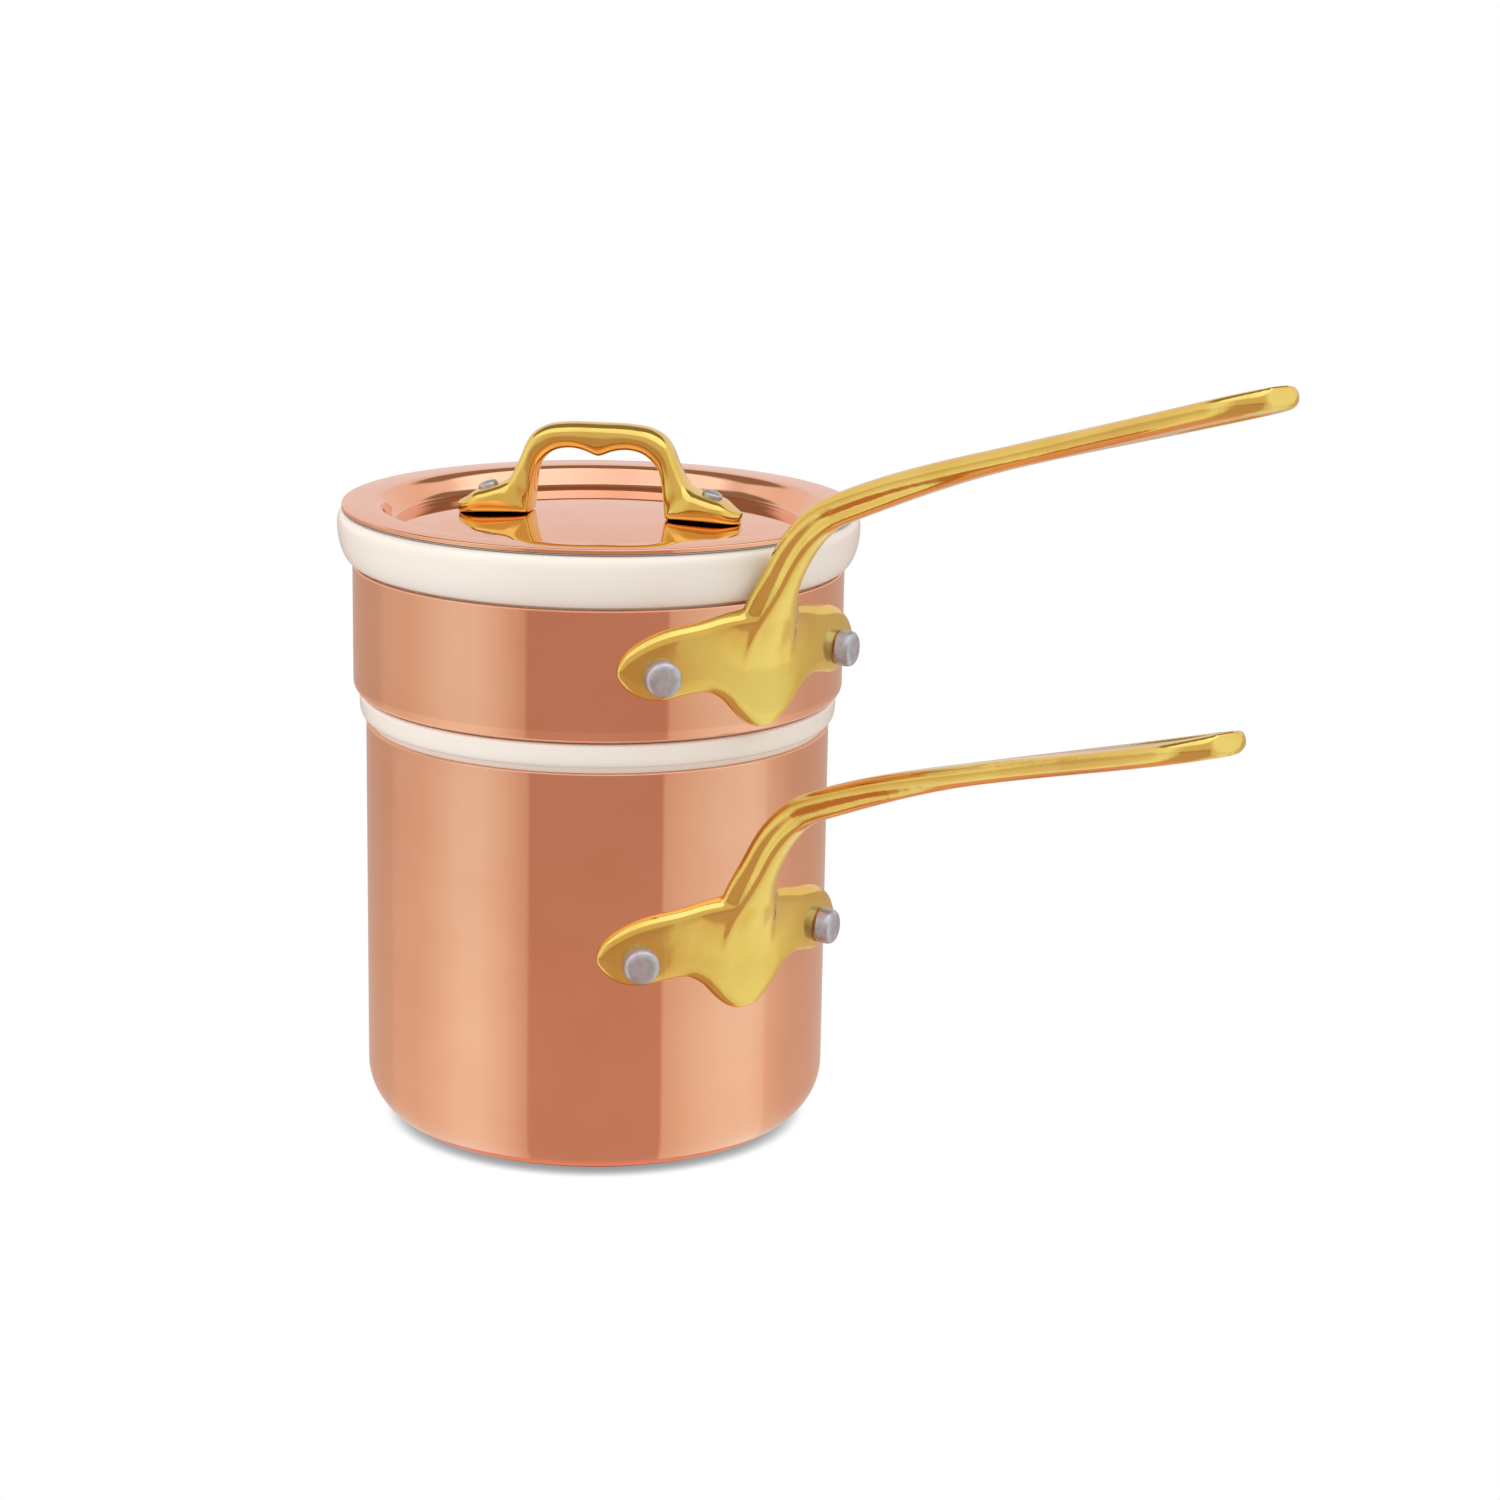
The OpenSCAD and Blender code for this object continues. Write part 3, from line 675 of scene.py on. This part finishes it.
def lid_sheet(s, upper, lower, edge):
    """A sheet between two depths under the lid's top line, with a rounded edge."""
    line = lid_line(s)
    over = beside(line, upper)[:-1]
    under = beside(line, lower)[:-1]
    edge_r, top, foot = s.lid_radius, line[-1].y - upper, line[-1].y - lower
    rim = (arc((edge_r - edge, top - edge), edge, 90, 0, 4)
           + arc((edge_r - edge, foot + edge), edge, 0, -90, 4))
    inner = [Vector((max(0.0, p.x), p.y)) for p in reversed(under)]
    return [Vector((max(0.0, p.x), p.y)) for p in over] + rim + inner


# Long handle, in millimetres: x outwards from the wall, y along it, z up from the rivets


class LongHandle:
    """The lines of one long handle on a wall of this radius."""

    RIB_END, EYE_RUN = 92, Vector((61.7, 18.9))

    def __init__(self, s, wall_r):
        self.s, self.wall_r = s, wall_r
        stem_end, tip = Vector((29.6, 43.6)), Vector((s.handle_reach, s.handle_rise))
        foot = Vector((s.flange_depth / 2, -1))
        self.stem = [foot, foot + Vector((0.7, 15)), (13, 36.6), stem_end]
        self.bar = [stem_end, (74, 62.4), tip - self.EYE_RUN, tip]
        self.eye_r = s.eye_width / 2
        self.eye_share = 1 - self.eye_r / 3 / self.EYE_RUN.length
        self.eye = bezier(self.bar, self.eye_share)
        lobe = self.lobe = s.rivet_gap / 2
        end = self.flange_end = lobe + 10.5
        self.low = spline([(0, -16), (2.6, -15.7), (5.4, -14.2), (8.5, -11.4), (12, -7.6), (16.5, -5.3),
                           (lobe - 6, -5.8), (lobe - 1, -6.8), (lobe + 4, -6.2), (lobe + 8, -3.8),
                           (end - 0.4, -0.8), (end, 1)], 6)
        top = 15.6
        self.high = spline([(0, top), (5, top), (9, top - 0.4), (14, top - 1.4), (18, 13.2),
                            (lobe - 2.5, 11.9), (lobe + 3, 9.9), (lobe + 8, 6.6), (end - 0.4, 3),
                            (end, 1)], 6)

    def half_width(self, x):
        s, eye_x = self.s, self.eye.x
        if x >= eye_x:
            return max(0.6, math.sqrt(max(0.0, self.eye_r ** 2 - (x - eye_x) ** 2)))
        waist = mix(s.bar_width / 2 + 0.8, s.bar_width / 2, smooth(x / 29.6))
        return mix(waist, self.eye_r, smooth((x - eye_x + self.EYE_RUN.x) / self.EYE_RUN.x) ** 1.2)

    def section(self, p, way):
        """Bar on the upper side, rib under it and a groove between them."""
        s = self.s
        foot_flare = 3.4 * (1 - smooth((p.y - 10) / 16))
        w = self.half_width(p.x) + foot_flare
        rib = s.rib_depth * smooth((p.y - 1) / 20) * (1 - smooth((p.x - 34) / (self.RIB_END - 34)))
        plate = mix(s.flange_depth - 0.5, s.bar_depth, smooth((p.y + 1) / 14))
        edge = min(mix(1.7, 1.1, smooth((p.x - 90) / 50)), w * 0.5)
        full, cut = plate + rib, min(1.0, rib / 2.4)
        under = min(mix(edge, 2.6, smooth((p.x - 50) / 30)), w * 0.5)
        rib_w = mix(w - under * 0.8, w * 0.64, cut)
        waist = mix(w - under * 0.35, w * 0.54, cut)
        half = [(0, 0), (w * 0.5, 0.05), (w - edge, 0.3), (w - edge * 0.3, edge * 0.65), (w, plate * 0.45),
                (w - edge * 0.1, plate * mix(0.65, 0.72, cut)), (waist, plate * mix(0.82, 0.98, cut)),
                (rib_w, plate * mix(0.9, 1, cut) + rib * 0.34),
                (rib_w * mix(0.96, 0.9, cut), full - mix(0.15, 0.75, cut)),
                (rib_w * 0.5, full - 0.1 * cut), (0, full)]
        ring = half + [(-y, n) for y, n in reversed(half[1:-1])]
        return [(p.x + (n - full / 2) * way.y + self.wall_r, y, p.y - (n - full / 2) * way.x)
                for y, n in ring]

    def bar_rings(self):
        stem = [(self.stem, k / 24) for k in range(25)]
        reach = [self.eye_share * k / 44 for k in range(1, 45)]
        tip = [mix(self.eye_share, 1, math.sin(math.radians(88 * k / 14))) for k in range(1, 15)]
        return [self.section(bezier(line, t), bezier_direction(line, t))
                for line, t in stem + [(self.bar, t) for t in reach + tip]]

    def flange_front(self, along, z):
        """Depth of the flange's front, which swells out in the middle to meet the stem."""
        return self.s.flange_depth + 4.6 * math.exp(-(along / 9) ** 2) * smooth((z - 1) / 13)

    def flange_ring(self, along):
        low, high = height_at(self.low, abs(along)), height_at(self.high, abs(along))
        edge = min(2.8, (high - low) * 0.35)

        def rounded(z, up):
            depth = self.flange_front(along, z + up)
            return [(0, z + up * 0.15), (depth * 0.36, z), (depth * 0.68, z + up * 0.14),
                    (depth * 0.91, z + up * 0.47), (depth, z + up)]

        rows = [mix(low + edge, high - edge, k / 7) for k in range(1, 7)]
        ring = (rounded(low, edge) + [(self.flange_front(along, z), z) for z in rows]
                + rounded(high, -edge)[::-1])
        turn, base = along / self.wall_r, self.wall_r + SEAT_GAP
        return [((base + out) * math.cos(turn), (base + out) * math.sin(turn), z) for out, z in ring]

    def flange_rings(self):
        shares = [mix(k / 48, (k / 48) ** 3, 0.35) for k in range(-48, 49)]
        return [self.flange_ring(self.flange_end * 0.995 * math.sin(math.pi / 2 * t)) for t in shares]

    def eye_rings(self):
        """Rings of the eye's drop-shaped hole, flared towards both faces."""
        way = bezier_direction(self.bar, self.eye_share)
        radius, point = 5.5, -21.5
        rings = []
        for depth, grow in ((-6, 2.6), (-1.7, 0), (1.7, 0), (6, 2.6)):
            side = math.acos((radius + grow) / (grow * 1.4 - point))
            drop = [Vector((point - grow * 1.4, 0))] + arc((0, 0), radius + grow, -180 + math.degrees(side),
                                                         180 - math.degrees(side), 46)
            rings.append([(self.wall_r + self.eye.x + a * way.x + depth * way.y, b,
                           self.eye.y + a * way.y - depth * way.x) for a, b in drop])
        return rings

    def cast(self, name):
        """Bar and flange cast in one, with the eye cut and the corners filled as in a mould."""
        bar = lofted(name, self.bar_rings())
        finished_by(bar, "SUBSURF", levels=1, render_levels=1)
        hole = lofted("eye_cutter", self.eye_rings())
        finished_by(bar, "BOOLEAN", object=hole, operation="DIFFERENCE", solver="EXACT")
        bpy.data.objects.remove(hole)
        flange = lofted("flange", self.flange_rings())
        finished_by(flange, "SUBSURF", levels=1, render_levels=1)
        casting = joined(name, bar, flange)
        finished_by(casting, "REMESH", mode="VOXEL", voxel_size=CASTING_VOXEL * MM)
        finished_by(casting, "SMOOTH", factor=0.5, iterations=CASTING_SMOOTHING)
        shade(casting, 60)
        return casting


def lid_grip_rings(s):
    """Rings of the lid's handle, from the end of one foot over the bar to the end of the other."""
    seat_h, bar_w, foot_w = GRIP_SEAT, 4.6, 7.2
    slope = math.tan(math.radians(GRIP_SLOPE)) * 3
    h, e, g = s.grip_rise, s.grip_half, s.grip_half - GRIP_RIVET_INSET

    def seat(x):
        return crown_height(s, x) - lid_middle_z(s) + 2 * SEAT_GAP

    rows = [(0, h - 8.6, 0, h, bar_w), (1.2, h - 8.3, 2.2, h, bar_w), (4, h - 7.2, 5.5, h, bar_w),
            (7.6, h - 6.7, 9.3, h - 0.2, bar_w), (11.4, h - 7.4, 13.7, h - 0.9, bar_w),
            (14.3, h - 9.4, 17.3, h - 2.8, bar_w + 0.1), (16.2, h - 12.2, 19.4, h - 5.6, bar_w + 0.2),
            (17.1, 8, 20.9, h - 9.4, bar_w + 0.5), (17.6, 3.6, 22.6, 10.9, bar_w + 1.1),
            (17.9, 0.6, 24.1, 8.5, foot_w - 1.2), (18.7, seat(18.7), 25.5, 7.5, foot_w - 0.8),
            (22, seat(22), g - 3, seat_h + slope, foot_w - 0.3), (g - 2, seat(g - 2), g, seat_h, foot_w),
            (g + 3, seat(g + 3), g + 3, seat_h - slope, foot_w - 0.5),
            (e - 2, seat(e - 2), e - 2.2, 2.9, foot_w - 2.6), (e - 0.3, seat(e), e, 1.7, foot_w - 5)]
    line = spline(rows, 4)

    def ring(row, side):
        low, high, w = Vector((row[0], row[1])), Vector((row[2], row[3])), row[4]
        edge = min(2.0, w * 0.45, (high - low).length * 0.3)
        up = (high - low).normalized()
        half = [(0, low), (w * 0.55, low), (w - edge * 0.4, low + up * edge * 0.25),
                (w, low + up * edge * 0.9),
                (w, (low + high) / 2), (w - edge * 0.05, high - up * edge * 1.1),
                (w - edge * 0.45, high - up * edge * 0.42), (w - edge * 1.3, high - up * edge * 0.06),
                (0, high)]
        full = half + [(-y, q) for y, q in reversed(half[1:-1])]
        return [(side * q.x, y, q.y) for y, q in full]

    return [ring(row, -1) for row in reversed(line[1:])] + [ring(row, 1) for row in line]


# Operators


class BOILER_OT_pot(bpy.types.Operator):
    """Spins the pot's copper sheet and its steel lining"""

    bl_idname = "boiler.pot"
    bl_label = "Pot"

    def execute(self, context):
        s = sizes_in_mm()
        face = s.copper + BOND_GAP
        shell = turned("copper_pot", pan_line(s, 0, 0.35) + pan_line(s, s.copper)[::-1])
        lining = turned("pot_steel_lining", pan_line(s, face) + pan_line(s, face + s.lining)[::-1])
        for piece in (shell, lining):
            shade(piece)
        dressed(shell, "pot", "copper", "pot_shell")
        dressed(lining, "pot", "lining", "pot_lining")
        return {"FINISHED"}


class BOILER_OT_insert(bpy.types.Operator):
    """Spins the porcelain insert"""

    bl_idname = "boiler.insert"
    bl_label = "Porcelain insert"

    def execute(self, context):
        cup = turned("glazed_cup", insert_outline(sizes_in_mm()))
        shade(cup, 40)
        dressed(cup, "insert", "porcelain", "porcelain_insert")
        return {"FINISHED"}


class BOILER_OT_collar(bpy.types.Operator):
    """Spins the copper collar round the insert's neck"""

    bl_idname = "boiler.collar"
    bl_label = "Collar"

    def execute(self, context):
        collar = turned("copper_collar", collar_outline(sizes_in_mm()), loop=True)
        shade(collar)
        dressed(collar, "insert", "copper", "collar_band")
        return {"FINISHED"}


class BOILER_OT_lid(bpy.types.Operator):
    """Spins the lid's copper sheet and its steel lining"""

    bl_idname = "boiler.lid"
    bl_label = "Lid"

    def execute(self, context):
        s = sizes_in_mm()
        face = s.copper + BOND_GAP
        shell = turned("copper_lid", lid_sheet(s, 0, s.copper, 0.4))
        lining = turned("lid_steel_lining", lid_sheet(s, face, face + s.lining, 0.08))
        for piece in (shell, lining):
            shade(piece)
        dressed(shell, "lid", "copper", "lid_shell")
        dressed(lining, "lid", "lining", "lid_lining")
        return {"FINISHED"}


class BOILER_OT_long_handles(bpy.types.Operator):
    """Casts the long handles of the pot and of the collar"""

    bl_idname = "boiler.long_handles"
    bl_label = "Long handles"

    def execute(self, context):
        s = sizes_in_mm()
        collar_r = collar_outer_r(s)
        lower = placed(LongHandle(s, s.pot_radius).cast("pot_cast_handle"),
                       turned_to(0, rivet_z(POT_GRIP_FOOT)))
        upper = placed(LongHandle(s, collar_r).cast("collar_cast_handle"),
                       turned_to(s.collar_turn, rivet_z(COLLAR_GRIP_FOOT)))
        dressed(lower, "pot", "bronze", "pot_handle")
        dressed(upper, "insert", "bronze", "collar_handle")
        lower.visible_glossy = upper.visible_glossy = False
        return {"FINISHED"}


class BOILER_OT_lid_handle(bpy.types.Operator):
    """Casts the loop handle of the lid"""

    bl_idname = "boiler.lid_handle"
    bl_label = "Lid handle"

    def execute(self, context):
        s = sizes_in_mm()
        grip = lofted("lid_cast_handle", lid_grip_rings(s))
        finished_by(grip, "SUBSURF", levels=2, render_levels=2)
        shade(grip, 60)
        placed(grip, turned_to(s.lid_turn, lid_middle_z(s)))
        dressed(grip, "lid", "bronze", "lid_handle")
        return {"FINISHED"}


class BOILER_OT_rivets(bpy.types.Operator):
    """Turns the rivets and sets them in the walls and in the lid"""

    bl_idname = "boiler.rivets"
    bl_label = "Rivets"

    def execute(self, context):
        s = sizes_in_mm()
        collar_r = collar_outer_r(s)
        walls = (("pot", "pot", s.pot_radius, s.copper + BOND_GAP + s.lining, rivet_z(POT_GRIP_FOOT), 0),
                 ("collar", "insert", collar_r, s.collar, rivet_z(COLLAR_GRIP_FOOT), s.collar_turn))
        for owner, body, wall_r, wall, height, turn in walls:
            for side, name in ((1, "left"), (-1, "right")):
                rivet = wall_rivet(s, f"{owner}_steel_rivet_{name}", wall_r, wall)
                out = Matrix.Translation((wall_r * MM, 0, 0)) @ Matrix.Rotation(math.pi / 2, 4, "Y")
                along = math.degrees(side * s.rivet_gap / 2 / wall_r)
                placed(rivet, turned_to(turn + along, height) @ out)
                dressed(rivet, body, "rivet", f"{owner}_rivet_{name}")
        for side, name in ((1, "left"), (-1, "right")):
            rivet = lid_rivet(s, f"lid_steel_rivet_{name}", side)
            placed(rivet, turned_to(s.lid_turn, lid_middle_z(s)))
            dressed(rivet, "lid", "rivet", f"lid_rivet_{name}")
        return {"FINISHED"}


def rivet_z(grip_foot):
    """Height of a flange's rivets over the table, from the foot of its handle's box."""
    return grip_foot.z / MM + RIVET_OVER_FOOT


def wall_rivet(s, name, wall_r, wall):
    """A wall rivet along +Z from the wall's outer face: flat inner head, shank and drum-shaped head."""
    head_r, head_h, shank_r, tail_r = s.rivet_head / 2, 4.3, 2.5, 5.0
    seat = s.flange_depth + 2 * SEAT_GAP
    inner_r = wall_r - wall
    tail = -wall - SEAT_GAP - (inner_r - math.sqrt(inner_r ** 2 - tail_r ** 2))
    line = curve([(0, tail - 1), (tail_r * 0.7, tail - 1), (tail_r, tail - 0.8), (tail_r, tail)], 8)
    line += [Vector((shank_r, tail)), Vector((shank_r, seat))]
    line += straight((head_r - 0.3, seat), (head_r, seat + 0.3), 0.1)
    line += straight((head_r, seat + 0.5), (head_r, seat + head_h - 1.9), 0.3)
    line += curve([(head_r, seat + head_h - 1.8), (head_r, seat + head_h - 0.6),
                   (head_r - 0.8, seat + head_h - 0.1), (head_r - 2.2, seat + head_h - 0.05)], 10)
    line += [Vector((head_r * 0.3, seat + head_h)), Vector((0, seat + head_h))]
    rivet = turned(name, line)
    shade(rivet, 50)
    return rivet


def lid_rivet(s, name, side):
    """A lid rivet: its button head lies on the sloping foot, and its shank stands upright."""
    x, seat = s.grip_half - GRIP_RIVET_INSET, GRIP_SEAT
    head_r, head_h, shank_r, tail_r = 2.7, 1.4, 1.7, 3.0
    under = crown_height(s, x + 3) - lid_middle_z(s) - 2 * SEAT_GAP - s.copper - BOND_GAP - s.lining
    button = turned("button", [(0, -0.4), (head_r, -0.4), (head_r, 0.3)] + curve(
        [(head_r, 0.35), (head_r, head_h * 0.8), (head_r * 0.6, head_h), (0, head_h)], 12))
    tilt = Matrix.Rotation(math.radians(side * GRIP_SLOPE), 4, "Y")
    placed(button, Matrix.Translation((side * x * MM, 0, (seat + SEAT_GAP) * MM)) @ tilt)
    tail = curve([(0, under - 1), (tail_r - 1, under - 1), (tail_r, under - 0.8), (tail_r, under)], 6)
    shank = turned("shank", tail + [(shank_r, under), (shank_r, seat + 0.4), (0, seat + 0.4)])
    placed(shank, Matrix.Translation((side * x * MM, 0, 0)))
    rivet = joined(name, button, shank)
    shade(rivet, 50)
    return rivet


class BOILER_OT_stage(bpy.types.Operator):
    """Sets the table, the light and the camera of the photograph"""

    bl_idname = "boiler.stage"
    bl_label = "Studio"

    TURN = 53.8
    DISTANCE, HEIGHT = 919.83, 329.59
    YAW, PITCH, ROLL = 0.0443, 0.2442, 0.0186
    FOCAL_SHARE = 3539.6 / 1500
    LOOK = math.radians(17.5)
    CORNER_SHARE = 0.244
    SHADOW_REACH, SHADOW = 6, 0.68
    LAMP_AIM = 80

    def execute(self, context):
        scene = context.scene
        scene.view_settings.view_transform = "Standard"
        self.set_camera(scene)
        self.lay_table()
        self.light_world(scene)
        self.hang_lamp("key_lamp", -55, 40, 1500, 900, 7.0)
        self.hang_lamp("fill_lamp", 60, 35, 1500, 900, 3.0)
        return {"FINISHED"}

    def set_camera(self, scene):
        """The camera stands where the photograph was taken from."""
        yaw, pitch, roll = self.YAW, self.PITCH, self.ROLL
        ahead = Vector((math.sin(yaw) * math.cos(pitch), math.cos(yaw) * math.cos(pitch), -math.sin(pitch)))
        level = Vector((math.cos(yaw), -math.sin(yaw), 0))
        up = level.cross(ahead)
        right = math.cos(roll) * level + math.sin(roll) * up
        above = -math.sin(roll) * level + math.cos(roll) * up
        pose = Matrix((right, above, -ahead)).transposed().to_4x4()
        pose.translation = Vector((0, -self.DISTANCE, self.HEIGHT)) * MM
        data = bpy.data.cameras.new("photo_camera")
        data.sensor_fit, data.sensor_width = "HORIZONTAL", 36
        data.lens = self.FOCAL_SHARE * data.sensor_width
        data.clip_start, data.clip_end = 0.05, 60
        camera = bpy.data.objects.new("photo_camera", data)
        scene.collection.objects.link(camera)
        camera.matrix_world = Matrix.Rotation(math.radians(self.TURN), 4, "Z") @ pose
        scene.camera = camera

    def lay_table(self):
        """A white table with the contact shadow under the pot's corner."""
        bpy.ops.object.select_all(action="DESELECT")
        bpy.ops.mesh.primitive_plane_add(size=12)
        table = bpy.context.object
        table.name = "table"
        with editing(table):
            bpy.ops.mesh.subdivide(number_cuts=3)
        material = bpy.data.materials.new("white_table")
        material.use_nodes = True
        nodes = Nodes(material.node_tree)
        openness = nodes.number("ShaderNodeAmbientOcclusion", {"samples": 24},
                                {"Distance": self.SHADOW_REACH * MM}, "AO")
        light = openness.ease(0.02, 0.55) * self.SHADOW + (1 - self.SHADOW)
        paper = nodes.add("ShaderNodeEmission", None, {"Color": (1, 1, 1, 1), "Strength": light})
        nodes.add("ShaderNodeOutputMaterial", None, {"Surface": paper.outputs[0]})
        table.data.materials.append(material)
        table.visible_glossy = table.visible_diffuse = False

    def light_world(self, scene):
        """White for the camera, plain light for matt surfaces, and for metal the studio's bright and dim
        panels with a painted reflection on the pot's lower corner.
        """
        world = bpy.data.worlds.new("studio")
        world.use_nodes = True
        scene.world = world
        nodes = Nodes(world.node_tree)
        way = nodes.add("ShaderNodeTexCoord").outputs["Generated"]
        turn = math.radians(self.TURN - 90)
        front = (math.cos(turn), math.sin(turn), 0)
        side = (-math.sin(turn), math.cos(turn), 0)

        sight = (-front[0] * math.cos(self.LOOK), -front[1] * math.cos(self.LOOK), -math.sin(self.LOOK))
        facing = nodes.vector("NORMALIZE", nodes.vector("SUBTRACT", way, sight))

        def along(vector, axis):
            return Number(nodes, nodes.vector("DOT_PRODUCT", vector, axis, output="Value"))

        def ramp(stops, factor):
            return nodes.add("ShaderNodeValToRGB", {"stops": stops}, {0: factor}).outputs[0]

        tilt = along(facing, (0, 0, 1))
        level = tilt.math("SQRT", tilt.math("MAXIMUM", 1 - tilt * tilt, 0.0001))
        across = along(facing, side) / level * (level * self.CORNER_SHARE + (1 - self.CORNER_SHARE))
        walls = ramp([
            (0.0, (0.66, 0.50, 0.42)), (0.055, (0.70, 0.57, 0.50)), (0.068, (0.78, 0.65, 0.58)),
            (0.12, (0.83, 0.70, 0.62)), (0.21, (0.95, 0.93, 0.90)), (0.25, (0.95, 0.93, 0.90)),
            (0.30, (0.87, 0.78, 0.71)), (0.351, (0.74, 0.55, 0.48)), (0.358, (0.60, 0.38, 0.32)),
            (0.638, (0.60, 0.38, 0.32)), (0.645, (0.79, 0.62, 0.54)), (0.71, (0.87, 0.80, 0.73)),
            (0.775, (0.94, 0.92, 0.89)), (0.83, (0.97, 0.97, 0.95)), (0.86, (0.93, 0.88, 0.82)),
            (0.868, (0.84, 0.74, 0.66)), (0.92, (0.71, 0.58, 0.53)), (1.0, (0.66, 0.52, 0.45))],
            across * 0.5 + 0.5)
        height = along(way, (0, 0, 1))
        walls = nodes.mixed((height + 0.34).ease(0.0, 0.10) * 0.11, walls, (0, 0, 0, 1))
        aside, ahead = along(way, side), along(way, front)
        azimuth = aside.math("ARCTAN2", aside, ahead) * (1 / math.tau) + 0.5

        def at(degrees):
            return 0.5 + degrees / 360

        white, dim = (1, 1, 1), (0.30, 0.22, 0.15)
        far = ramp([(at(-180), (0.86, 0.74, 0.72)), (at(-120), (0.92, 0.80, 0.74)), (at(-66), white),
                    (at(-30), (0.75, 0.6, 0.5)), (at(30), (0.75, 0.6, 0.5)), (at(75), white),
                    (at(120), (0.92, 0.80, 0.74)), (at(179), (0.86, 0.74, 0.72))], azimuth)
        above = ramp([(at(-180), dim), (at(-100), dim), (at(-80), (1.3, 1.3, 1.35)),
                      (at(-20), (1.1, 1.1, 1.15)), (at(20), (1.3, 1.3, 1.4)), (at(95), (1.5, 1.5, 1.6)),
                      (at(115), dim), (at(179), dim)], azimuth)
        glossy_light = nodes.mixed(height.ease(-0.06, 0.05), walls, far)
        glossy_light = nodes.mixed(height.ease(0.50, 0.62), glossy_light, above)
        # Painted reflection: downward-tilted normals get an orange bounce and the steepest a dark painted
        # shade, for the table's glow and contact shadow in the corner.
        glossy_light = nodes.mixed((0 - tilt).ease(0.71, 0.76), glossy_light, (0.82, 0.36, 0.26, 1))
        glossy_light = nodes.mixed((0 - tilt).ease(0.84, 0.92), glossy_light, (0.30, 0.09, 0.06, 1))
        paths = nodes.add("ShaderNodeLightPath")

        def light(tint, strength=1.0):
            return nodes.add("ShaderNodeBackground", None, {"Color": tint, "Strength": strength}).outputs[0]

        def choice(ray, hit, missed):
            inputs = {0: paths.outputs[ray], 1: missed, 2: hit}
            return nodes.add("ShaderNodeMixShader", None, inputs).outputs[0]

        plain, white_room = light((1, 0.99, 0.975, 1), 0.79), light((1, 1, 1, 1))
        seen = choice("Is Camera Ray", white_room, choice("Is Glossy Ray", light(glossy_light), plain))
        nodes.add("ShaderNodeOutputWorld", None, {"Surface": seen})

    def hang_lamp(self, name, azimuth, elevation, distance, size, power):
        """A soft lamp that looks at the pot."""
        data = bpy.data.lights.new(name, "AREA")
        data.shape, data.size, data.energy = "SQUARE", size * MM, power
        lamp = bpy.data.objects.new(name, data)
        bpy.context.scene.collection.objects.link(lamp)
        turn, lift = math.radians(self.TURN - 90 + azimuth), math.radians(elevation)
        way = Vector((math.cos(turn) * math.cos(lift), math.sin(turn) * math.cos(lift), math.sin(lift)))
        lamp.location = way * distance * MM + Vector((0, 0, self.LAMP_AIM * MM))
        lamp.rotation_euler = way.to_track_quat("Z", "Y").to_euler()
        lamp.visible_glossy = lamp.visible_camera = False


class BOILER_PT_sidebar(bpy.types.Panel):
    """Lists the steps, the sizes and the finishes"""

    bl_idname = "BOILER_PT_sidebar"
    bl_label = "Double Boiler"
    bl_space_type = "VIEW_3D"
    bl_region_type = "UI"
    bl_category = "Double Boiler"

    def draw(self, context):
        for step in STEPS:
            self.layout.operator(step.bl_idname)
        for group in (context.scene.boiler_sizes, context.scene.boiler_finish):
            for name in group.__annotations__:
                self.layout.prop(group, name)


STEPS = (BOILER_OT_pot, BOILER_OT_insert, BOILER_OT_collar, BOILER_OT_lid, BOILER_OT_long_handles,
         BOILER_OT_lid_handle, BOILER_OT_rivets, BOILER_OT_stage)
CLASSES = (BoilerSizes, BoilerFinish, *STEPS, BOILER_PT_sidebar)


def register():
    for made in CLASSES:
        bpy.utils.register_class(made)
    bpy.types.Scene.boiler_sizes = PointerProperty(type=BoilerSizes)
    bpy.types.Scene.boiler_finish = PointerProperty(type=BoilerFinish)


def unregister():
    del bpy.types.Scene.boiler_sizes
    del bpy.types.Scene.boiler_finish
    for made in reversed(CLASSES):
        bpy.utils.unregister_class(made)


def main():
    register()
    for step in (bpy.ops.boiler.stage, bpy.ops.boiler.pot, bpy.ops.boiler.insert, bpy.ops.boiler.collar,
                 bpy.ops.boiler.lid, bpy.ops.boiler.long_handles, bpy.ops.boiler.lid_handle,
                 bpy.ops.boiler.rivets):
        step()


if __name__ == "__main__":
    main()
